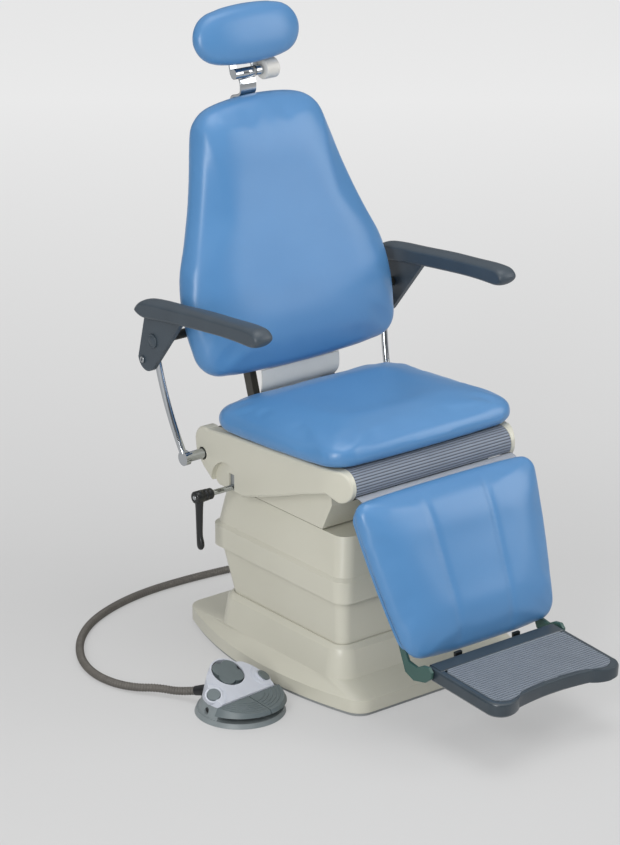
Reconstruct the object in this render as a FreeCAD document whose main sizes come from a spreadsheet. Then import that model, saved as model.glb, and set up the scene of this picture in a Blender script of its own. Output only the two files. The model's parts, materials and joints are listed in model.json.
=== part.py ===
import FreeCAD, Part

# Treatment chair for ear, nose and throat work, in millimetres: a lifting and turning column carries a seat
# with a reclining back, levelled armrests, a tilting headrest, a swinging legrest and a folding footrest.
# +Z is up, the sitter faces -Y and the origin is on the floor under the column's axis.
# Tilted pieces are drawn in the frame of their own cushion: X across, Y rearward, Z along the cushion.
import math
import os
import re
from types import SimpleNamespace

from FreeCAD import Placement, Rotation, Vector

SIZES = {
    # Base plate and plinth on the floor
    "plate_thickness": 8,
    "plate_inset": 5,
    "plinth_half_width": 262,
    "plinth_front": 270,
    "plinth_rear": 360,
    "plinth_bow_radius": 900,
    "plinth_corner": 42,
    "rim_top": 36,
    "riser_foot": 62,
    "plinth_top": 130,
    "riser_flare": 24,
    "riser_bevel": 10,
    "moulding_wall": 4,
    # Telescoping covers of the column
    "sleeve_half_width": 205,
    "sleeve_half_depth": 188,
    "sleeve_rear_high": 230,
    "sleeve_corner": 24,
    "sleeve_bottom": 20,
    "sleeve_drop": 32,
    "sleeve_wall": 3,
    "sleeve_gap": 0.8,
    "shroud_reach_side": 12,
    "shroud_reach_front": 15,
    "shroud_reach_rear": 16,
    "shroud_corner": 32,
    "shroud_height": 137,
    "shroud_band": 47,
    "shroud_bevel": 7,
    "shroud_taper": 14,
    # Lifting column inside the covers
    "guide_half": 70,
    "guide_wall": 6,
    "guide_drop": 32,
    "column_bottom": 60,
    "column_wall": 8,
    "pad_thickness": 1.9,
    "pad_height": 60,
    "slide_gap": 0.1,
    "barrel_radius": 30,
    "barrel_drop": 30,
    "lift_rod_radius": 14,
    "head_inset_side": 25,
    "head_inset_front": 23,
    "head_thickness": 10,
    "race_radius": 85,
    "race_bore": 60,
    "race_height": 8,
    "thrust_gap": 0.3,
    "hub_radius": 72,
    "running_fit": 0.05,
    "box_width": 160,
    "box_depth": 76,
    "box_height": 28,
    # Seat frame, pivots and covers of the carriage
    "seat_front": 225,
    "seat_front_height": 527,
    "seat_tilt": 3.4,
    "leg_axis_front": 203,
    "leg_axis_drop": 38,
    "recline_axis_back": 24,
    "recline_axis_drop": 53,
    "axle_radius": 10,
    "cover_gap": 17,
    "frame_plate": 10,
    "platform_inset": 12,
    "platform_drop": 131,
    "platform_thickness": 12,
    "beam_height": 24,
    "standoff_radius": 8,
    "standoff_side": 150,
    "belly_inset": 4.5,
    "belly_depth": 29,
    "swivel_gap": 5,
    "cover_half_width": 236,
    "cover_depth": 29.5,
    "nose_radius": 34,
    "hump_reach": 44,
    "hump_rise": 8,
    "recess_depth": 12,
    "link_drop": 42,
    "link_reach": 16,
    "link_rod_radius": 11,
    "link_clearance": 40,
    "link_thickness": 12,
    "link_splay": 24,
    "link_bar_radius": 7.5,
    "link_bow": 10,
    # Actuators of the back and of the legrest
    "actuator_offset": 45,
    "actuator_radius": 20,
    "actuator_front": 95,
    "actuator_rear": 60,
    "drive_rod_radius": 9,
    "lever_radius": 46,
    "lever_pin_radius": 5,
    "yoke_slot": 12.4,
    "back_travel": 68,
    "leg_travel": 65,
    # Swivel lock lever
    "lock_ahead": 69,
    "lock_rise": 11,
    "lock_rod_radius": 6,
    "lock_stick_out": 82,
    "lock_hub_radius": 13,
    "lock_hub_length": 30,
    "lock_handle": 118,
    # Seat cushion and board
    "seat_half_width": 249,
    "seat_depth": 432,
    "seat_thickness": 68,
    "seat_corner": 62,
    "board_thickness": 12,
    # Back cushion, board, frame and shell
    "back_tuck": 7,
    "back_rise": 76,
    "back_lean": 17.3,
    "back_length": 562,
    "back_half_foot": 205,
    "back_half_hip": 272,
    "back_half_waist": 214,
    "back_half_shoulder": 180,
    "back_half_top": 106,
    "back_front_depth": 42,
    "back_rear_depth": 33,
    "arm_bar_offset": 101,
    "arm_bar_thickness": 16,
    "arm_bar_width": 24,
    "arm_pivot_back": 55.5,
    "arm_pivot_up": 107.6,
    "arm_shaft_radius": 10,
    "arm_spigot_radius": 8,
    "shell_depth": 47,
    "shell_wall": 3.5,
    # Armrests
    "bracket_clearance": 5,
    "bracket_thickness": 11,
    "armrest_shift": 5,
    "armrest_half_width": 23,
    # Headrest
    "lumbar_half_width": 86,
    "post_width": 40,
    "post_thickness": 6,
    "post_back": 54,
    "post_overlap": 262,
    "head_axis_back": 4.8,
    "head_rise": 52,
    "head_lean": 15,
    "knuckle_radius": 11,
    "knuckle_half_length": 36,
    "hinge_pin_radius": 5,
    "headrest_half_width": 136,
    "headrest_half_height": 61,
    "headrest_up": 81,
    "headrest_forward": 18.6,
    "knob_radius": 22,
    "knob_length": 34,
    # Legrest
    "leg_hang": 23.3,
    "leg_pad_forward": 46,
    "leg_pad_top": 36,
    "leg_pad_bottom": 380,
    "leg_half_top": 244,
    "leg_half_bottom": 202,
    "leg_front_depth": 30,
    "leg_rear_depth": 22,
    "leg_corner": 40,
    "leg_board": 8,
    "leg_rail": 12,
    "leg_tube_radius": 18,
    "roll_end_gap": 1.5,
    "roll_wall": 3,
    "roll_ribs": 14,
    # Footrest
    "footrest_forward": 71,
    "footrest_drop": 23,
    "footrest_tip": 4,
    "footrest_half_width": 170,
    "footrest_depth": 206,
    "footrest_thickness": 30,
    "footrest_rim": 13,
    "mat_thickness": 5,
    "stay_thickness": 6,
    "footrest_pin_radius": 5,
    # Foot control on the floor
    "foot_x": -385,
    "foot_y": -82,
    "foot_turn": 5,
    "foot_radius": 94,
    "foot_rim": 10,
    "foot_body_top": 34,
    "foot_cover_rear_top": 78,
    "foot_slope": 26,
    "foot_front": 24,
    "foot_wall": 4,
    "rocker_radius": 35,
    "rocker_back": 37,
    "button_radius": 14,
    "button_offset": 69,
    "button_back": 4,
    "pedal_gap": 1,
    "pedal_height": 16,
    "pedal_fall": 0.12,
    # Ribbed conduit from the base to the foot control
    "conduit_radius": 9,
    "conduit_bore": 6.5,
    "conduit_groove": 1,
    "conduit_ribs": 200,
    "gland_radius": 13,
    "gland_length": 24,
    "gland_x": 130,
    "gland_height": 22,
}

# Places and widths that follow from the sizes
LINKED = {
    # Heights, from the seat's front edge downwards and upwards
    "platform_bottom": "seat_front_height - platform_drop",
    "belly_bottom": "platform_bottom - belly_depth",
    "shroud_top": "belly_bottom - swivel_gap",
    "shroud_bottom": "shroud_top - shroud_height",
    "shroud_band_top": "shroud_bottom + shroud_band",
    "sleeve_top": "shroud_top - sleeve_drop",
    "guide_top": "shroud_top - guide_drop",
    "barrel_top": "guide_top - barrel_drop",
    "leg_axis_height": "seat_front_height - leg_axis_drop",
    "recline_axis_height": "seat_front_height - recline_axis_drop",
    "hump_top": "recline_axis_height + hump_rise",
    "lock_height": "belly_bottom + lock_rise",
    "back_height_at_foot": "seat_front_height + back_rise",
    # Places along the seat, from its depth
    "back_rear": "seat_depth - seat_front - back_tuck",
    "recline_axis_rear": "back_rear + recline_axis_back",
    "hump_rear": "recline_axis_rear + hump_reach",
    "lock_rear": "recline_axis_rear - lock_ahead",
    # Half widths, from the covers inwards and outwards
    "shroud_half_width": "sleeve_half_width + shroud_reach_side",
    "shroud_front": "sleeve_half_depth + shroud_reach_front",
    "shroud_rear": "sleeve_rear_high + shroud_reach_rear",
    "head_half_width": "sleeve_half_width - head_inset_side",
    "head_half_depth": "sleeve_half_depth - head_inset_front",
    "frame_half_width": "cover_half_width - cover_gap",
    "cover_inner": "cover_half_width - cover_depth",
    "belly_half_width": "cover_inner - belly_inset",
    "platform_half_width": "belly_half_width - platform_inset",
    "roll_half_length": "cover_inner - roll_end_gap",
    "lock_reach": "cover_half_width + lock_stick_out",
    "link_inner": "cover_half_width + link_clearance",
    "link_head_inner": "link_inner + link_splay",
    "bracket_inner": "link_head_inner + link_thickness + bracket_clearance",
    "armrest_centre": "bracket_inner + armrest_shift",
    # Lengths along the back and the legrest
    "post_bottom": "back_length - post_overlap",
    "head_axis_up": "back_length + head_rise",
    "footrest_down": "leg_pad_bottom + footrest_drop",
}

doc = FreeCAD.newDocument("treatment_chair")
sheet = doc.addObject("Spreadsheet::Sheet", "dims")
for row, (alias, number) in enumerate(SIZES.items(), start=1):
    sheet.set(f"A{row}", alias)
    sheet.set(f"B{row}", str(number))
    sheet.setAlias(f"B{row}", alias)
linked = doc.addObject("App::VarSet", "linked")
PIECES = []
ACROSS = Vector(1, 0, 0)
REARWARD = Vector(0, 1, 0)
UP = Vector(0, 0, 1)
SIDES = (("left", -1), ("right", 1))


# Building blocks
def formula(text):
    """An expression's text, with the name of each size pointed at its cell."""
    def pointed(word):
        name = word[0]
        if name in SIZES:
            return "dims." + name
        return "linked." + name if name in LINKED else name

    return re.sub(r"[a-z]\w*", pointed, text)


def bind(thing, **texts):
    """Bind properties of an object to expressions of the sizes."""
    for name, text in texts.items():
        thing.setExpression(name, formula(text))
    return thing


for name, text in LINKED.items():
    linked.addProperty("App::PropertyFloat", name)
    bind(linked, **{name: text})
doc.recompute()
d = SimpleNamespace(**{name: float(sheet.get(name)) for name in SIZES},
                    **{name: linked.getPropertyByName(name) for name in LINKED})


def place(thing, corner):
    """Bind an object's position to three expressions."""
    for axis, text in zip("xyz", corner):
        thing.setExpression(f"Placement.Base.{axis}", formula(text))
    return thing


def box(name, size, corner):
    """A block from the expressions of its three sides and of its lowest corner."""
    block = doc.addObject("Part::Box", name)
    bind(block, Length=size[0], Width=size[1], Height=size[2])
    return place(block, corner)


TURNS = {"x": Rotation(REARWARD, 90), "y": Rotation(ACROSS, -90), "z": Rotation()}


def rod(name, radius, length, axis, start):
    """A cylinder along an axis from the expressions of its radius, length and first end."""
    bar = doc.addObject("Part::Cylinder", name)
    bar.Placement = Placement(Vector(), TURNS[axis])
    bind(bar, Radius=radius, Height=length)
    return place(bar, start)


def fuse(name, *solids):
    """Join solids into one."""
    joined = doc.addObject("Part::MultiFuse", name)
    joined.Shapes = list(solids)
    return joined


def cut(name, solid, *tools):
    """Take tools away from a solid."""
    result = doc.addObject("Part::Cut", name)
    result.Base = solid
    result.Tool = tools[0] if len(tools) == 1 else fuse(name + "_tools", *tools)
    return result


def group(name, *solids):
    """Alike solids that share one node."""
    members = doc.addObject("Part::Compound", name)
    members.Links = list(solids)
    return members


def form(name, shape, frame=None):
    """A solid made with Part's own functions, in the frame it is drawn in."""
    solid = doc.addObject("Part::Feature", name)
    solid.Shape = shape
    if frame:
        solid.Placement = frame
    return solid


def keep(label, solid, frame=None):
    """Name a finished sub-part."""
    solid.Label = label
    if frame:
        solid.Placement = frame
    PIECES.append(solid)
    return solid


def edges(outline, spot):
    """Curves of a closed outline: a step is a corner, or the middle and the end of an arc."""
    curves = []
    here = outline[0]
    for step in list(outline[1:]) + [outline[0]]:
        if isinstance(step[0], tuple):
            curves.append(Part.Arc(spot(*here), spot(*step[0]), spot(*step[1])))
            here = step[1]
        elif step != here:
            curves.append(Part.LineSegment(spot(*here), spot(*step)))
            here = step
    return curves


def level(height):
    """Points of a flat outline at a height."""
    return lambda a, b: Vector(a, b, height)


def upright(depth):
    """Points of an outline that faces the front, at a depth."""
    return lambda a, b: Vector(a, depth, b)


def sideways(across):
    """Points of a side view, at a distance from the middle."""
    return lambda a, b: Vector(across, a, b)


def ring(outline, spot):
    """A closed wire."""
    return Part.Wire([curve.toShape() for curve in edges(outline, spot)])


def peg(radius, length, start, way=ACROSS):
    """A cylinder from its first end along a direction."""
    return Part.makeCylinder(radius, length, start, way)


def brick(length, width, height, corner):
    """A block from its lowest corner."""
    return Part.makeBox(length, width, height, corner)


def slab(outline, spot, sweep):
    """A flat outline made thick along a vector."""
    return Part.Face(ring(outline, spot)).extrude(sweep)


def pad(name, plane, outline, length, offset="0", middle=False):
    """A PartDesign body: one sketched outline on an origin plane, padded."""
    body = doc.addObject("PartDesign::Body", name)
    sketch = body.newObject("Sketcher::SketchObject", name + "_outline")
    support = next(item for item in body.Origin.OriginFeatures if item.Role == plane)
    sketch.AttachmentSupport = (support, [""])
    sketch.MapMode = "FlatFace"
    sketch.addGeometry(edges(outline, level(0)))
    bind(sketch, **{"AttachmentOffset.Base.z": offset})
    thick = body.newObject("PartDesign::Pad", name + "_pad")
    thick.Profile = sketch
    thick.Midplane = middle
    bind(thick, Length=length)
    return body


def rounded(half_front, half_rear, front, rear, corner, bow=0.0):
    """Outline with four gently bowed sides and four quarter-round corners."""
    depth = rear - front
    notch = (1 - math.sqrt(0.5)) * corner
    spread = (half_rear - half_front) * corner / depth
    steps = [(half_front - corner, front)]
    steps.append(((half_front - notch, front + notch), (half_front + spread, front + corner)))
    middle = (half_front + half_rear) / 2
    steps.append(((middle + bow, front + depth / 2), (half_rear - spread, rear - corner)))
    steps.append(((half_rear - notch, rear - notch), (half_rear - corner, rear)))
    steps.append(((0, rear + bow), (corner - half_rear, rear)))
    steps.append(((notch - half_rear, rear - notch), (spread - half_rear, rear - corner)))
    steps.append(((-middle - bow, front + depth / 2), (-half_front - spread, front + corner)))
    steps.append(((notch - half_front, front + notch), (corner - half_front, front)))
    steps.append(((0, front - bow), (half_front - corner, front)))
    if bow == 0:
        steps = [step[1] if isinstance(step[0], tuple) and number % 2 == 0 else step
                 for number, step in enumerate(steps)]
    return steps


def tilted(rear, height, degrees):
    """Frame of a tilted cushion."""
    return Placement(Vector(0, rear, height), Rotation(ACROSS, -degrees))


SEAT = tilted(-d.seat_front, d.seat_front_height, d.seat_tilt)
BACK = tilted(d.back_rear, d.back_height_at_foot, d.back_lean)
LEG = tilted(-d.leg_axis_front, d.leg_axis_height, d.leg_hang)
head_axis = BACK.multVec(Vector(0, d.head_axis_back, d.head_axis_up))
HEAD = tilted(head_axis.y, head_axis.z, d.head_lean)
fold_axis = LEG.multVec(Vector(0, -d.footrest_forward, -d.footrest_down))
FOOTREST = tilted(fold_axis.y, fold_axis.z, -d.footrest_tip)
FOOT = Placement(Vector(d.foot_x, d.foot_y, 0), Rotation(Vector(0, 0, 1), d.foot_turn))
arm_pivot = BACK.multVec(Vector(0, d.arm_pivot_back, d.arm_pivot_up))
link_foot = Vector(0, d.recline_axis_rear + d.link_reach, d.recline_axis_height - d.link_drop)
link_head = Vector(0, arm_pivot.y + d.link_reach, arm_pivot.z - d.link_drop)


# Base on the floor
def bowed(inset):
    """Plinth's plan: straight ends, bowed long sides and round corners, drawn in by an inset."""
    radius = d.plinth_bow_radius - inset
    centre = d.plinth_half_width - d.plinth_bow_radius
    corner = d.plinth_corner - inset
    half = []
    for end in (-d.plinth_front + inset, d.plinth_rear - inset):
        way = 1 if end > 0 else -1
        round_y = end - way * corner
        round_x = centre + math.sqrt((radius - corner) ** 2 - round_y ** 2)
        reach = math.hypot(round_x - centre, round_y)
        touch = (centre + (round_x - centre) * radius / reach, round_y * radius / reach)
        turn = (math.pi / 2 + math.atan2(way * round_y, round_x - centre)) / 2
        middle = (round_x + corner * math.cos(turn), round_y + way * corner * math.sin(turn))
        half.append(((round_x, end), middle, touch))
    (front_end, front_middle, front_touch), (rear_end, rear_middle, rear_touch) = half

    def mirror(point):
        return (-point[0], point[1])

    widest = (d.plinth_half_width - inset, 0.0)
    return [front_end, (front_middle, front_touch), (widest, rear_touch), (rear_middle, rear_end),
            mirror(rear_end), (mirror(rear_middle), mirror(rear_touch)),
            (mirror(widest), mirror(front_touch)), (mirror(front_middle), mirror(front_end))]


def block_outline(half_width, front, rear, corner):
    """Plan of the column's covers."""
    return rounded(half_width, half_width, -front, rear, corner)


def stacked(outlines):
    """Solid with straight sides between outlines at their heights."""
    return Part.makeLoft([ring(outline, level(height)) for height, outline in outlines], True, True)


def base():
    plate = pad("plate", "XY_Plane", bowed(d.plate_inset), "plate_thickness")
    keep("base_plate", plate)

    def riser(grow):
        """Plan round the mouth that the sleeve rises from."""
        reach = d.sleeve_gap + grow
        corner = max(d.sleeve_corner + grow, 2)
        depth = d.sleeve_half_depth + reach
        return block_outline(d.sleeve_half_width + reach, depth, depth, corner)

    def plinth(inset):
        return stacked([
            (d.plate_thickness, bowed(inset)),
            (d.rim_top - inset, bowed(inset)),
            (d.riser_foot - inset, riser(d.riser_flare - inset)),
            (d.plinth_top - d.riser_bevel, riser(d.riser_flare - d.riser_bevel - inset)),
            (d.plinth_top, riser(d.moulding_wall - inset)),
        ])

    gland_spot = Vector(d.gland_x, d.plinth_rear - d.gland_length, d.gland_height)
    gland_hole = peg(d.gland_radius, 3 * d.gland_length, gland_spot, REARWARD)
    keep("plinth_cover", form("plinth", plinth(0).cut(plinth(d.moulding_wall)).cut(gland_hole)))

    side = "2 * guide_half"
    hollow = "2 * guide_half - 2 * guide_wall"
    height = "guide_top - plate_thickness"
    outer = box("guide_outer", (side, side, height), ("-guide_half", "-guide_half", "plate_thickness"))
    inner = box("guide_hollow", (hollow, hollow, height),
                ("guide_wall - guide_half", "guide_wall - guide_half", "plate_thickness"))
    keep("guide_column", cut("guide", outer, inner))

    barrel = rod("barrel_body", "barrel_radius", "barrel_top - plate_thickness", "z",
                 ("0", "0", "plate_thickness"))
    bore = rod("barrel_bore", "lift_rod_radius + running_fit", "barrel_top - 2 * plate_thickness", "z",
               ("0", "0", "2 * plate_thickness"))
    keep("lift_barrel", cut("barrel", barrel, bore))

    keep("control_box", box("controller", ("box_width", "box_depth", "box_height"),
                            ("-box_width / 2", "sleeve_half_depth + 2 * plinth_corner - box_depth",
                             "plate_thickness")))


# Lifting column and its covers
def lift():
    def sleeve(inset):
        def plan(rear, shrink=0):
            drawn_in = inset + shrink
            return block_outline(d.sleeve_half_width - drawn_in, d.sleeve_half_depth - drawn_in,
                                 rear - drawn_in, d.sleeve_corner - inset)
        low, high = plan(d.sleeve_half_depth), plan(d.sleeve_rear_high)
        shoulder = d.shroud_band_top - 5
        return stacked([(d.sleeve_bottom, low), (d.plinth_top + 1, low), (d.shroud_bottom, high),
                        (shoulder, high), (d.sleeve_top, plan(d.sleeve_rear_high, d.shroud_taper))])

    keep("middle_sleeve", form("sleeve", sleeve(0).cut(sleeve(d.sleeve_wall))))

    def shroud(inset, top):
        def plan(shrink):
            drawn_in = inset + shrink
            return block_outline(d.shroud_half_width - drawn_in, d.shroud_front - drawn_in,
                                 d.shroud_rear - drawn_in, d.shroud_corner)
        band = d.shroud_band_top - inset / 2
        return stacked([(d.shroud_bottom, plan(0)), (band, plan(0)),
                        (band + d.shroud_bevel, plan(d.shroud_bevel)),
                        (top, plan(d.shroud_bevel + d.shroud_taper))])

    hole = peg(d.race_radius + d.shroud_bevel, d.shroud_top, Vector(), UP)
    lining = shroud(d.moulding_wall, d.shroud_top - d.moulding_wall)
    keep("upper_shroud", form("shroud", shroud(0, d.shroud_top).cut(lining).cut(hole)))

    head_top = "shroud_top - moulding_wall"
    head_bottom = head_top + " - head_thickness"
    plate = box("head_plate", ("2 * head_half_width", "2 * head_half_depth", "head_thickness"),
                ("-head_half_width", "-head_half_depth", head_bottom))
    keep("column_head", plate)

    half = "(guide_half + slide_gap + pad_thickness)"
    outer = box("column_outer", (f"2 * {half} + 2 * column_wall", f"2 * {half} + 2 * column_wall",
                                 head_bottom + " - column_bottom"),
                (f"-{half} - column_wall", f"-{half} - column_wall", "column_bottom"))
    inner = box("column_hollow", (f"2 * {half}", f"2 * {half}", head_bottom + " - column_bottom"),
                (f"-{half}", f"-{half}", "column_bottom"))
    keep("lift_column", cut("column", outer, inner))

    pads = []
    pad_bottom = "column_bottom + 20"
    middle, low, high = "-guide_half / 2", f"-{half}", "guide_half + slide_gap"
    wide, thin, tall = "guide_half", "pad_thickness", "pad_height"
    for name, y in (("front", low), ("rear", high)):
        pads.append(box(f"pad_{name}", (wide, thin, tall), (middle, y, pad_bottom)))
    for name, x in (("left", low), ("right", high)):
        pads.append(box(f"pad_{name}", (thin, wide, tall), (x, middle, pad_bottom)))
    keep("wear_pads", group("pads", *pads))

    keep("lift_rod", rod("lift_bar", "lift_rod_radius", head_bottom + " - column_bottom", "z",
                         ("0", "0", "column_bottom")))
    race = rod("race_body", "race_radius", "race_height", "z", ("0", "0", head_top))
    opening = rod("race_hole", "race_bore", "race_height", "z", ("0", "0", head_top))
    keep("swivel_race", cut("race", race, opening))


# Carriage under the seat
def cover_outline(inset):
    """Side view of a carriage cover: round nose, rising band and rear hump."""
    nose = d.nose_radius - inset
    front, axis = -d.leg_axis_front, d.leg_axis_height
    rise = math.tan(math.radians(d.seat_tilt))
    top = axis + d.nose_radius - inset

    def under_seat(rear):
        return (rear, top - (rear - front) * rise - 2)

    hump_rear = d.hump_rear - inset
    hump_top = d.hump_top - inset
    foot = d.belly_bottom + 5 + inset
    return [(front, axis - nose), ((front - nose, axis), (front, axis + nose)), under_seat(150),
            (hump_rear - 46, hump_top + 8), ((hump_rear - 9, hump_top), (hump_rear, hump_top - 22)),
            (hump_rear - 4, link_foot.z - 2), (hump_rear - 26, link_foot.z - 28 + inset),
            (d.lock_rear + 43 - inset / 2, foot), (d.lock_rear - 43 + inset / 2, foot),
            ((10, foot + 32), (-90, foot + 68)), (front + 31, axis - 23 + inset)]


def recess_outline(grow):
    """Arched recess round the lock lever."""
    centre, half = d.lock_rear + 3, 52 + grow
    spring = d.lock_height + 12
    low = d.belly_bottom - 20
    return [(centre - half, low), (centre + half, low), (centre + half, spring),
            ((centre, spring + 44 + grow), (centre - half, spring))]


def carriage():
    hub_foot = "shroud_top - moulding_wall + race_height + thrust_gap"
    disc = rod("hub_disc", "hub_radius", "platform_bottom - (" + hub_foot + ")", "z", ("0", "0", hub_foot))
    spigot = rod("hub_spigot", "race_bore - running_fit", "race_height", "z",
                 ("0", "0", hub_foot + " - race_height"))
    keep("swivel_hub", fuse("hub", disc, spigot))

    plates = []
    for side, way in SIDES:
        start = "-frame_half_width" if way < 0 else "frame_half_width - frame_plate"
        plates.append(pad(f"frame_plate_{side}", "YZ_Plane", cover_outline(8), "frame_plate", start))
    deck_depth = "leg_axis_front + recline_axis_rear - 139"
    deck = box("frame_deck", ("2 * platform_half_width", deck_depth, "platform_thickness"),
               ("-platform_half_width", "75 - leg_axis_front", "platform_bottom"))
    beams = []
    beam_start = d.frame_plate / 2 - d.frame_half_width
    beam_bottom = -d.board_thickness - d.beam_height
    for name, rear in (("front", 78), ("rear", d.seat_depth - 147)):
        beam = brick(-2 * beam_start, 34, d.beam_height, Vector(beam_start, rear, beam_bottom))
        beams.append(form(f"frame_beam_{name}", beam, SEAT))
        seat_y = rear - d.seat_front + 14
        foot = d.platform_bottom + d.platform_thickness
        fall = rear * math.tan(math.radians(d.seat_tilt))
        top = d.seat_front_height - fall - d.board_thickness - d.beam_height / 2
        for side, way in SIDES:
            web = brick(8, 24, top - foot, Vector(way * 95 - 4, seat_y, foot))
            beams.append(form(f"frame_web_{name}_{side}", web))
    posts = [rod("frame_boss_lock", "lock_rod_radius + 2.3", "frame_plate", "x",
                 ("-frame_half_width", "lock_rear", "lock_height"))]
    belly_floor = "belly_bottom + moulding_wall"
    belly_room = "belly_depth - moulding_wall"
    cover_room = "cover_gap - moulding_wall"
    for side, way in SIDES:
        for name, rear in (("front", "113 - leg_axis_front"), ("rear", "120")):
            posts.append(rod(f"belly_post_{name}_{side}", "standoff_radius", belly_room, "z",
                             (f"{way} * standoff_side", rear, belly_floor)))
        start = "frame_half_width" if way > 0 else "moulding_wall - cover_half_width"
        low = "recline_axis_height - 19"
        for name, rear, height in (("front", "83 - leg_axis_front", "leg_axis_height + 1"),
                                   ("middle", "60", low), ("rear", "recline_axis_rear - 34", low)):
            posts.append(rod(f"cover_post_{name}_{side}", "standoff_radius", cover_room, "x",
                             (start, rear, height)))
    weldment = fuse("frame_weldment", *plates, deck, *beams, *posts)
    side, width = "-cover_half_width", "2 * cover_half_width"
    pivots = {"leg": ("-leg_axis_front", "leg_axis_height"),
              "recline": ("recline_axis_rear", "recline_axis_height")}
    link_spot = ("recline_axis_rear + link_reach", "recline_axis_height - link_drop")
    bores = [rod(f"frame_bore_{name}", "axle_radius", width, "x", (side, *spot))
             for name, spot in pivots.items()]
    bores.append(rod("frame_bore_link", "link_rod_radius", width, "x", (side, *link_spot)))
    bores.append(rod("frame_bore_lock", "lock_rod_radius + running_fit", "cover_half_width", "x",
                     ("-cover_half_width", "lock_rear", "lock_height")))
    keep("seat_frame", cut("frame", weldment, *bores))

    axles = [rod(f"axle_{name}", "axle_radius", "2 * frame_half_width", "x", ("-frame_half_width", *spot))
             for name, spot in pivots.items()]
    keep("pivot_axles", group("axles", *axles))

    stubs = []
    reach = "link_inner + link_thickness - frame_half_width + frame_plate"
    for side, way in SIDES:
        start = "-link_inner - link_thickness" if way < 0 else "frame_half_width - frame_plate"
        stubs.append(rod(f"link_stub_{side}", "link_rod_radius", reach, "x", (start, *link_spot)))
    keep("link_rods", group("stubs", *stubs))

    def belly(inset, lift_top):
        half = d.belly_half_width - inset
        low = d.belly_bottom + inset
        rear = d.hump_rear - 18 - inset
        brim = d.belly_bottom + lift_top
        nose = inset - d.leg_axis_front
        outline = [(nose + 82, low), (d.lock_rear + 30 - inset / 2, low), (rear, low + 33),
                   (rear, low + 38 + lift_top), (60, brim + 59), (-60, brim + 95), (nose + 55, brim + 117),
                   (nose + 51, low + 60)]
        return slab(outline, sideways(-half), Vector(2 * half, 0, 0))

    tub = belly(0, 0).cut(belly(d.moulding_wall, 40))
    window = brick(2 * d.belly_half_width - 60, 120, 200,
                   Vector(30 - d.belly_half_width, -d.leg_axis_front - 17, d.belly_bottom + 57))
    hub_hole = peg(d.hub_radius + 8, 60, Vector(0, 0, d.belly_bottom - 20), UP)
    lock_hole = peg(d.lock_rod_radius + 2, 60, Vector(-d.belly_half_width - 20, d.lock_rear, d.lock_height))
    keep("belly_cover", form("belly", tub.cut(window).cut(hub_hole).cut(lock_hole)))

    wall = d.moulding_wall
    depth = d.cover_half_width - d.cover_inner
    floor = d.cover_half_width - d.recess_depth
    for side, way in SIDES:
        def plate(outline, low, high):
            return slab(outline, sideways(way * low), Vector(way * (high - low), 0, 0))
        skin = plate(cover_outline(0), d.cover_inner, d.cover_half_width)
        outer_x = way * d.cover_half_width
        skin = skin.makeFillet(6, [edge for edge in skin.Edges if abs(edge.CenterOfMass.x - outer_x) < 0.01])
        hollow = plate(cover_outline(wall), d.cover_inner, d.cover_half_width - wall)
        if way < 0:
            behind = plate(recess_outline(wall), floor - wall, d.cover_half_width)
            skin = skin.cut(plate(recess_outline(0), floor, d.cover_half_width + depth))
            hollow = hollow.cut(behind)
        cover = skin.cut(hollow)
        inner_side = link_foot + ACROSS * (way * (d.cover_inner - 5))
        hole = peg(d.link_rod_radius + 3, 2 * depth, inner_side, ACROSS * way)
        cover = cover.cut(hole)
        if way < 0:
            slot_front = d.lock_rear - d.lock_rod_radius - 2.5
            slot = brick(2 * depth, 2 * d.lock_rod_radius + 5, 42,
                         Vector(-d.cover_half_width - 5, slot_front, d.lock_height - 12))
            cover = cover.cut(slot)
        keep(f"side_cover_{side}", form(f"cover_{side}", cover))


# Drive of the back and of the legrest
def drive_height(axis_height, travel):
    """Mean height of a lever pin that swings equally to both sides of straight down."""
    return axis_height - d.lever_radius * (1 + math.cos(math.radians(travel / 2))) / 2


def lever(x, travel, frame, pivot):
    """Two cheeks and a pin below a pivot, in the frame of the piece that swings."""
    lean = math.degrees(frame.Rotation.Angle) * (1 if frame.Rotation.Axis.x > 0 else -1)
    turn = math.radians(travel / 2 - lean - 90)
    pin = pivot + Vector(0, d.lever_radius * math.cos(turn), d.lever_radius * math.sin(turn))
    side = Vector(0, -math.sin(turn), math.cos(turn)) * (2 * d.lever_pin_radius)
    solids = []
    for low in (x - 17, x + 11):
        corners = [pivot + side, pin + side, pin - side, pivot - side]
        cheek = Part.makePolygon([corner + ACROSS * low for corner in corners + corners[:1]])
        solids.append(Part.Face(cheek).extrude(ACROSS * 6))
    solids.append(peg(d.lever_pin_radius, 34, pin + Vector(x - 17, 0, 0)))
    return solids[0].multiFuse(solids[1:])


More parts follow.
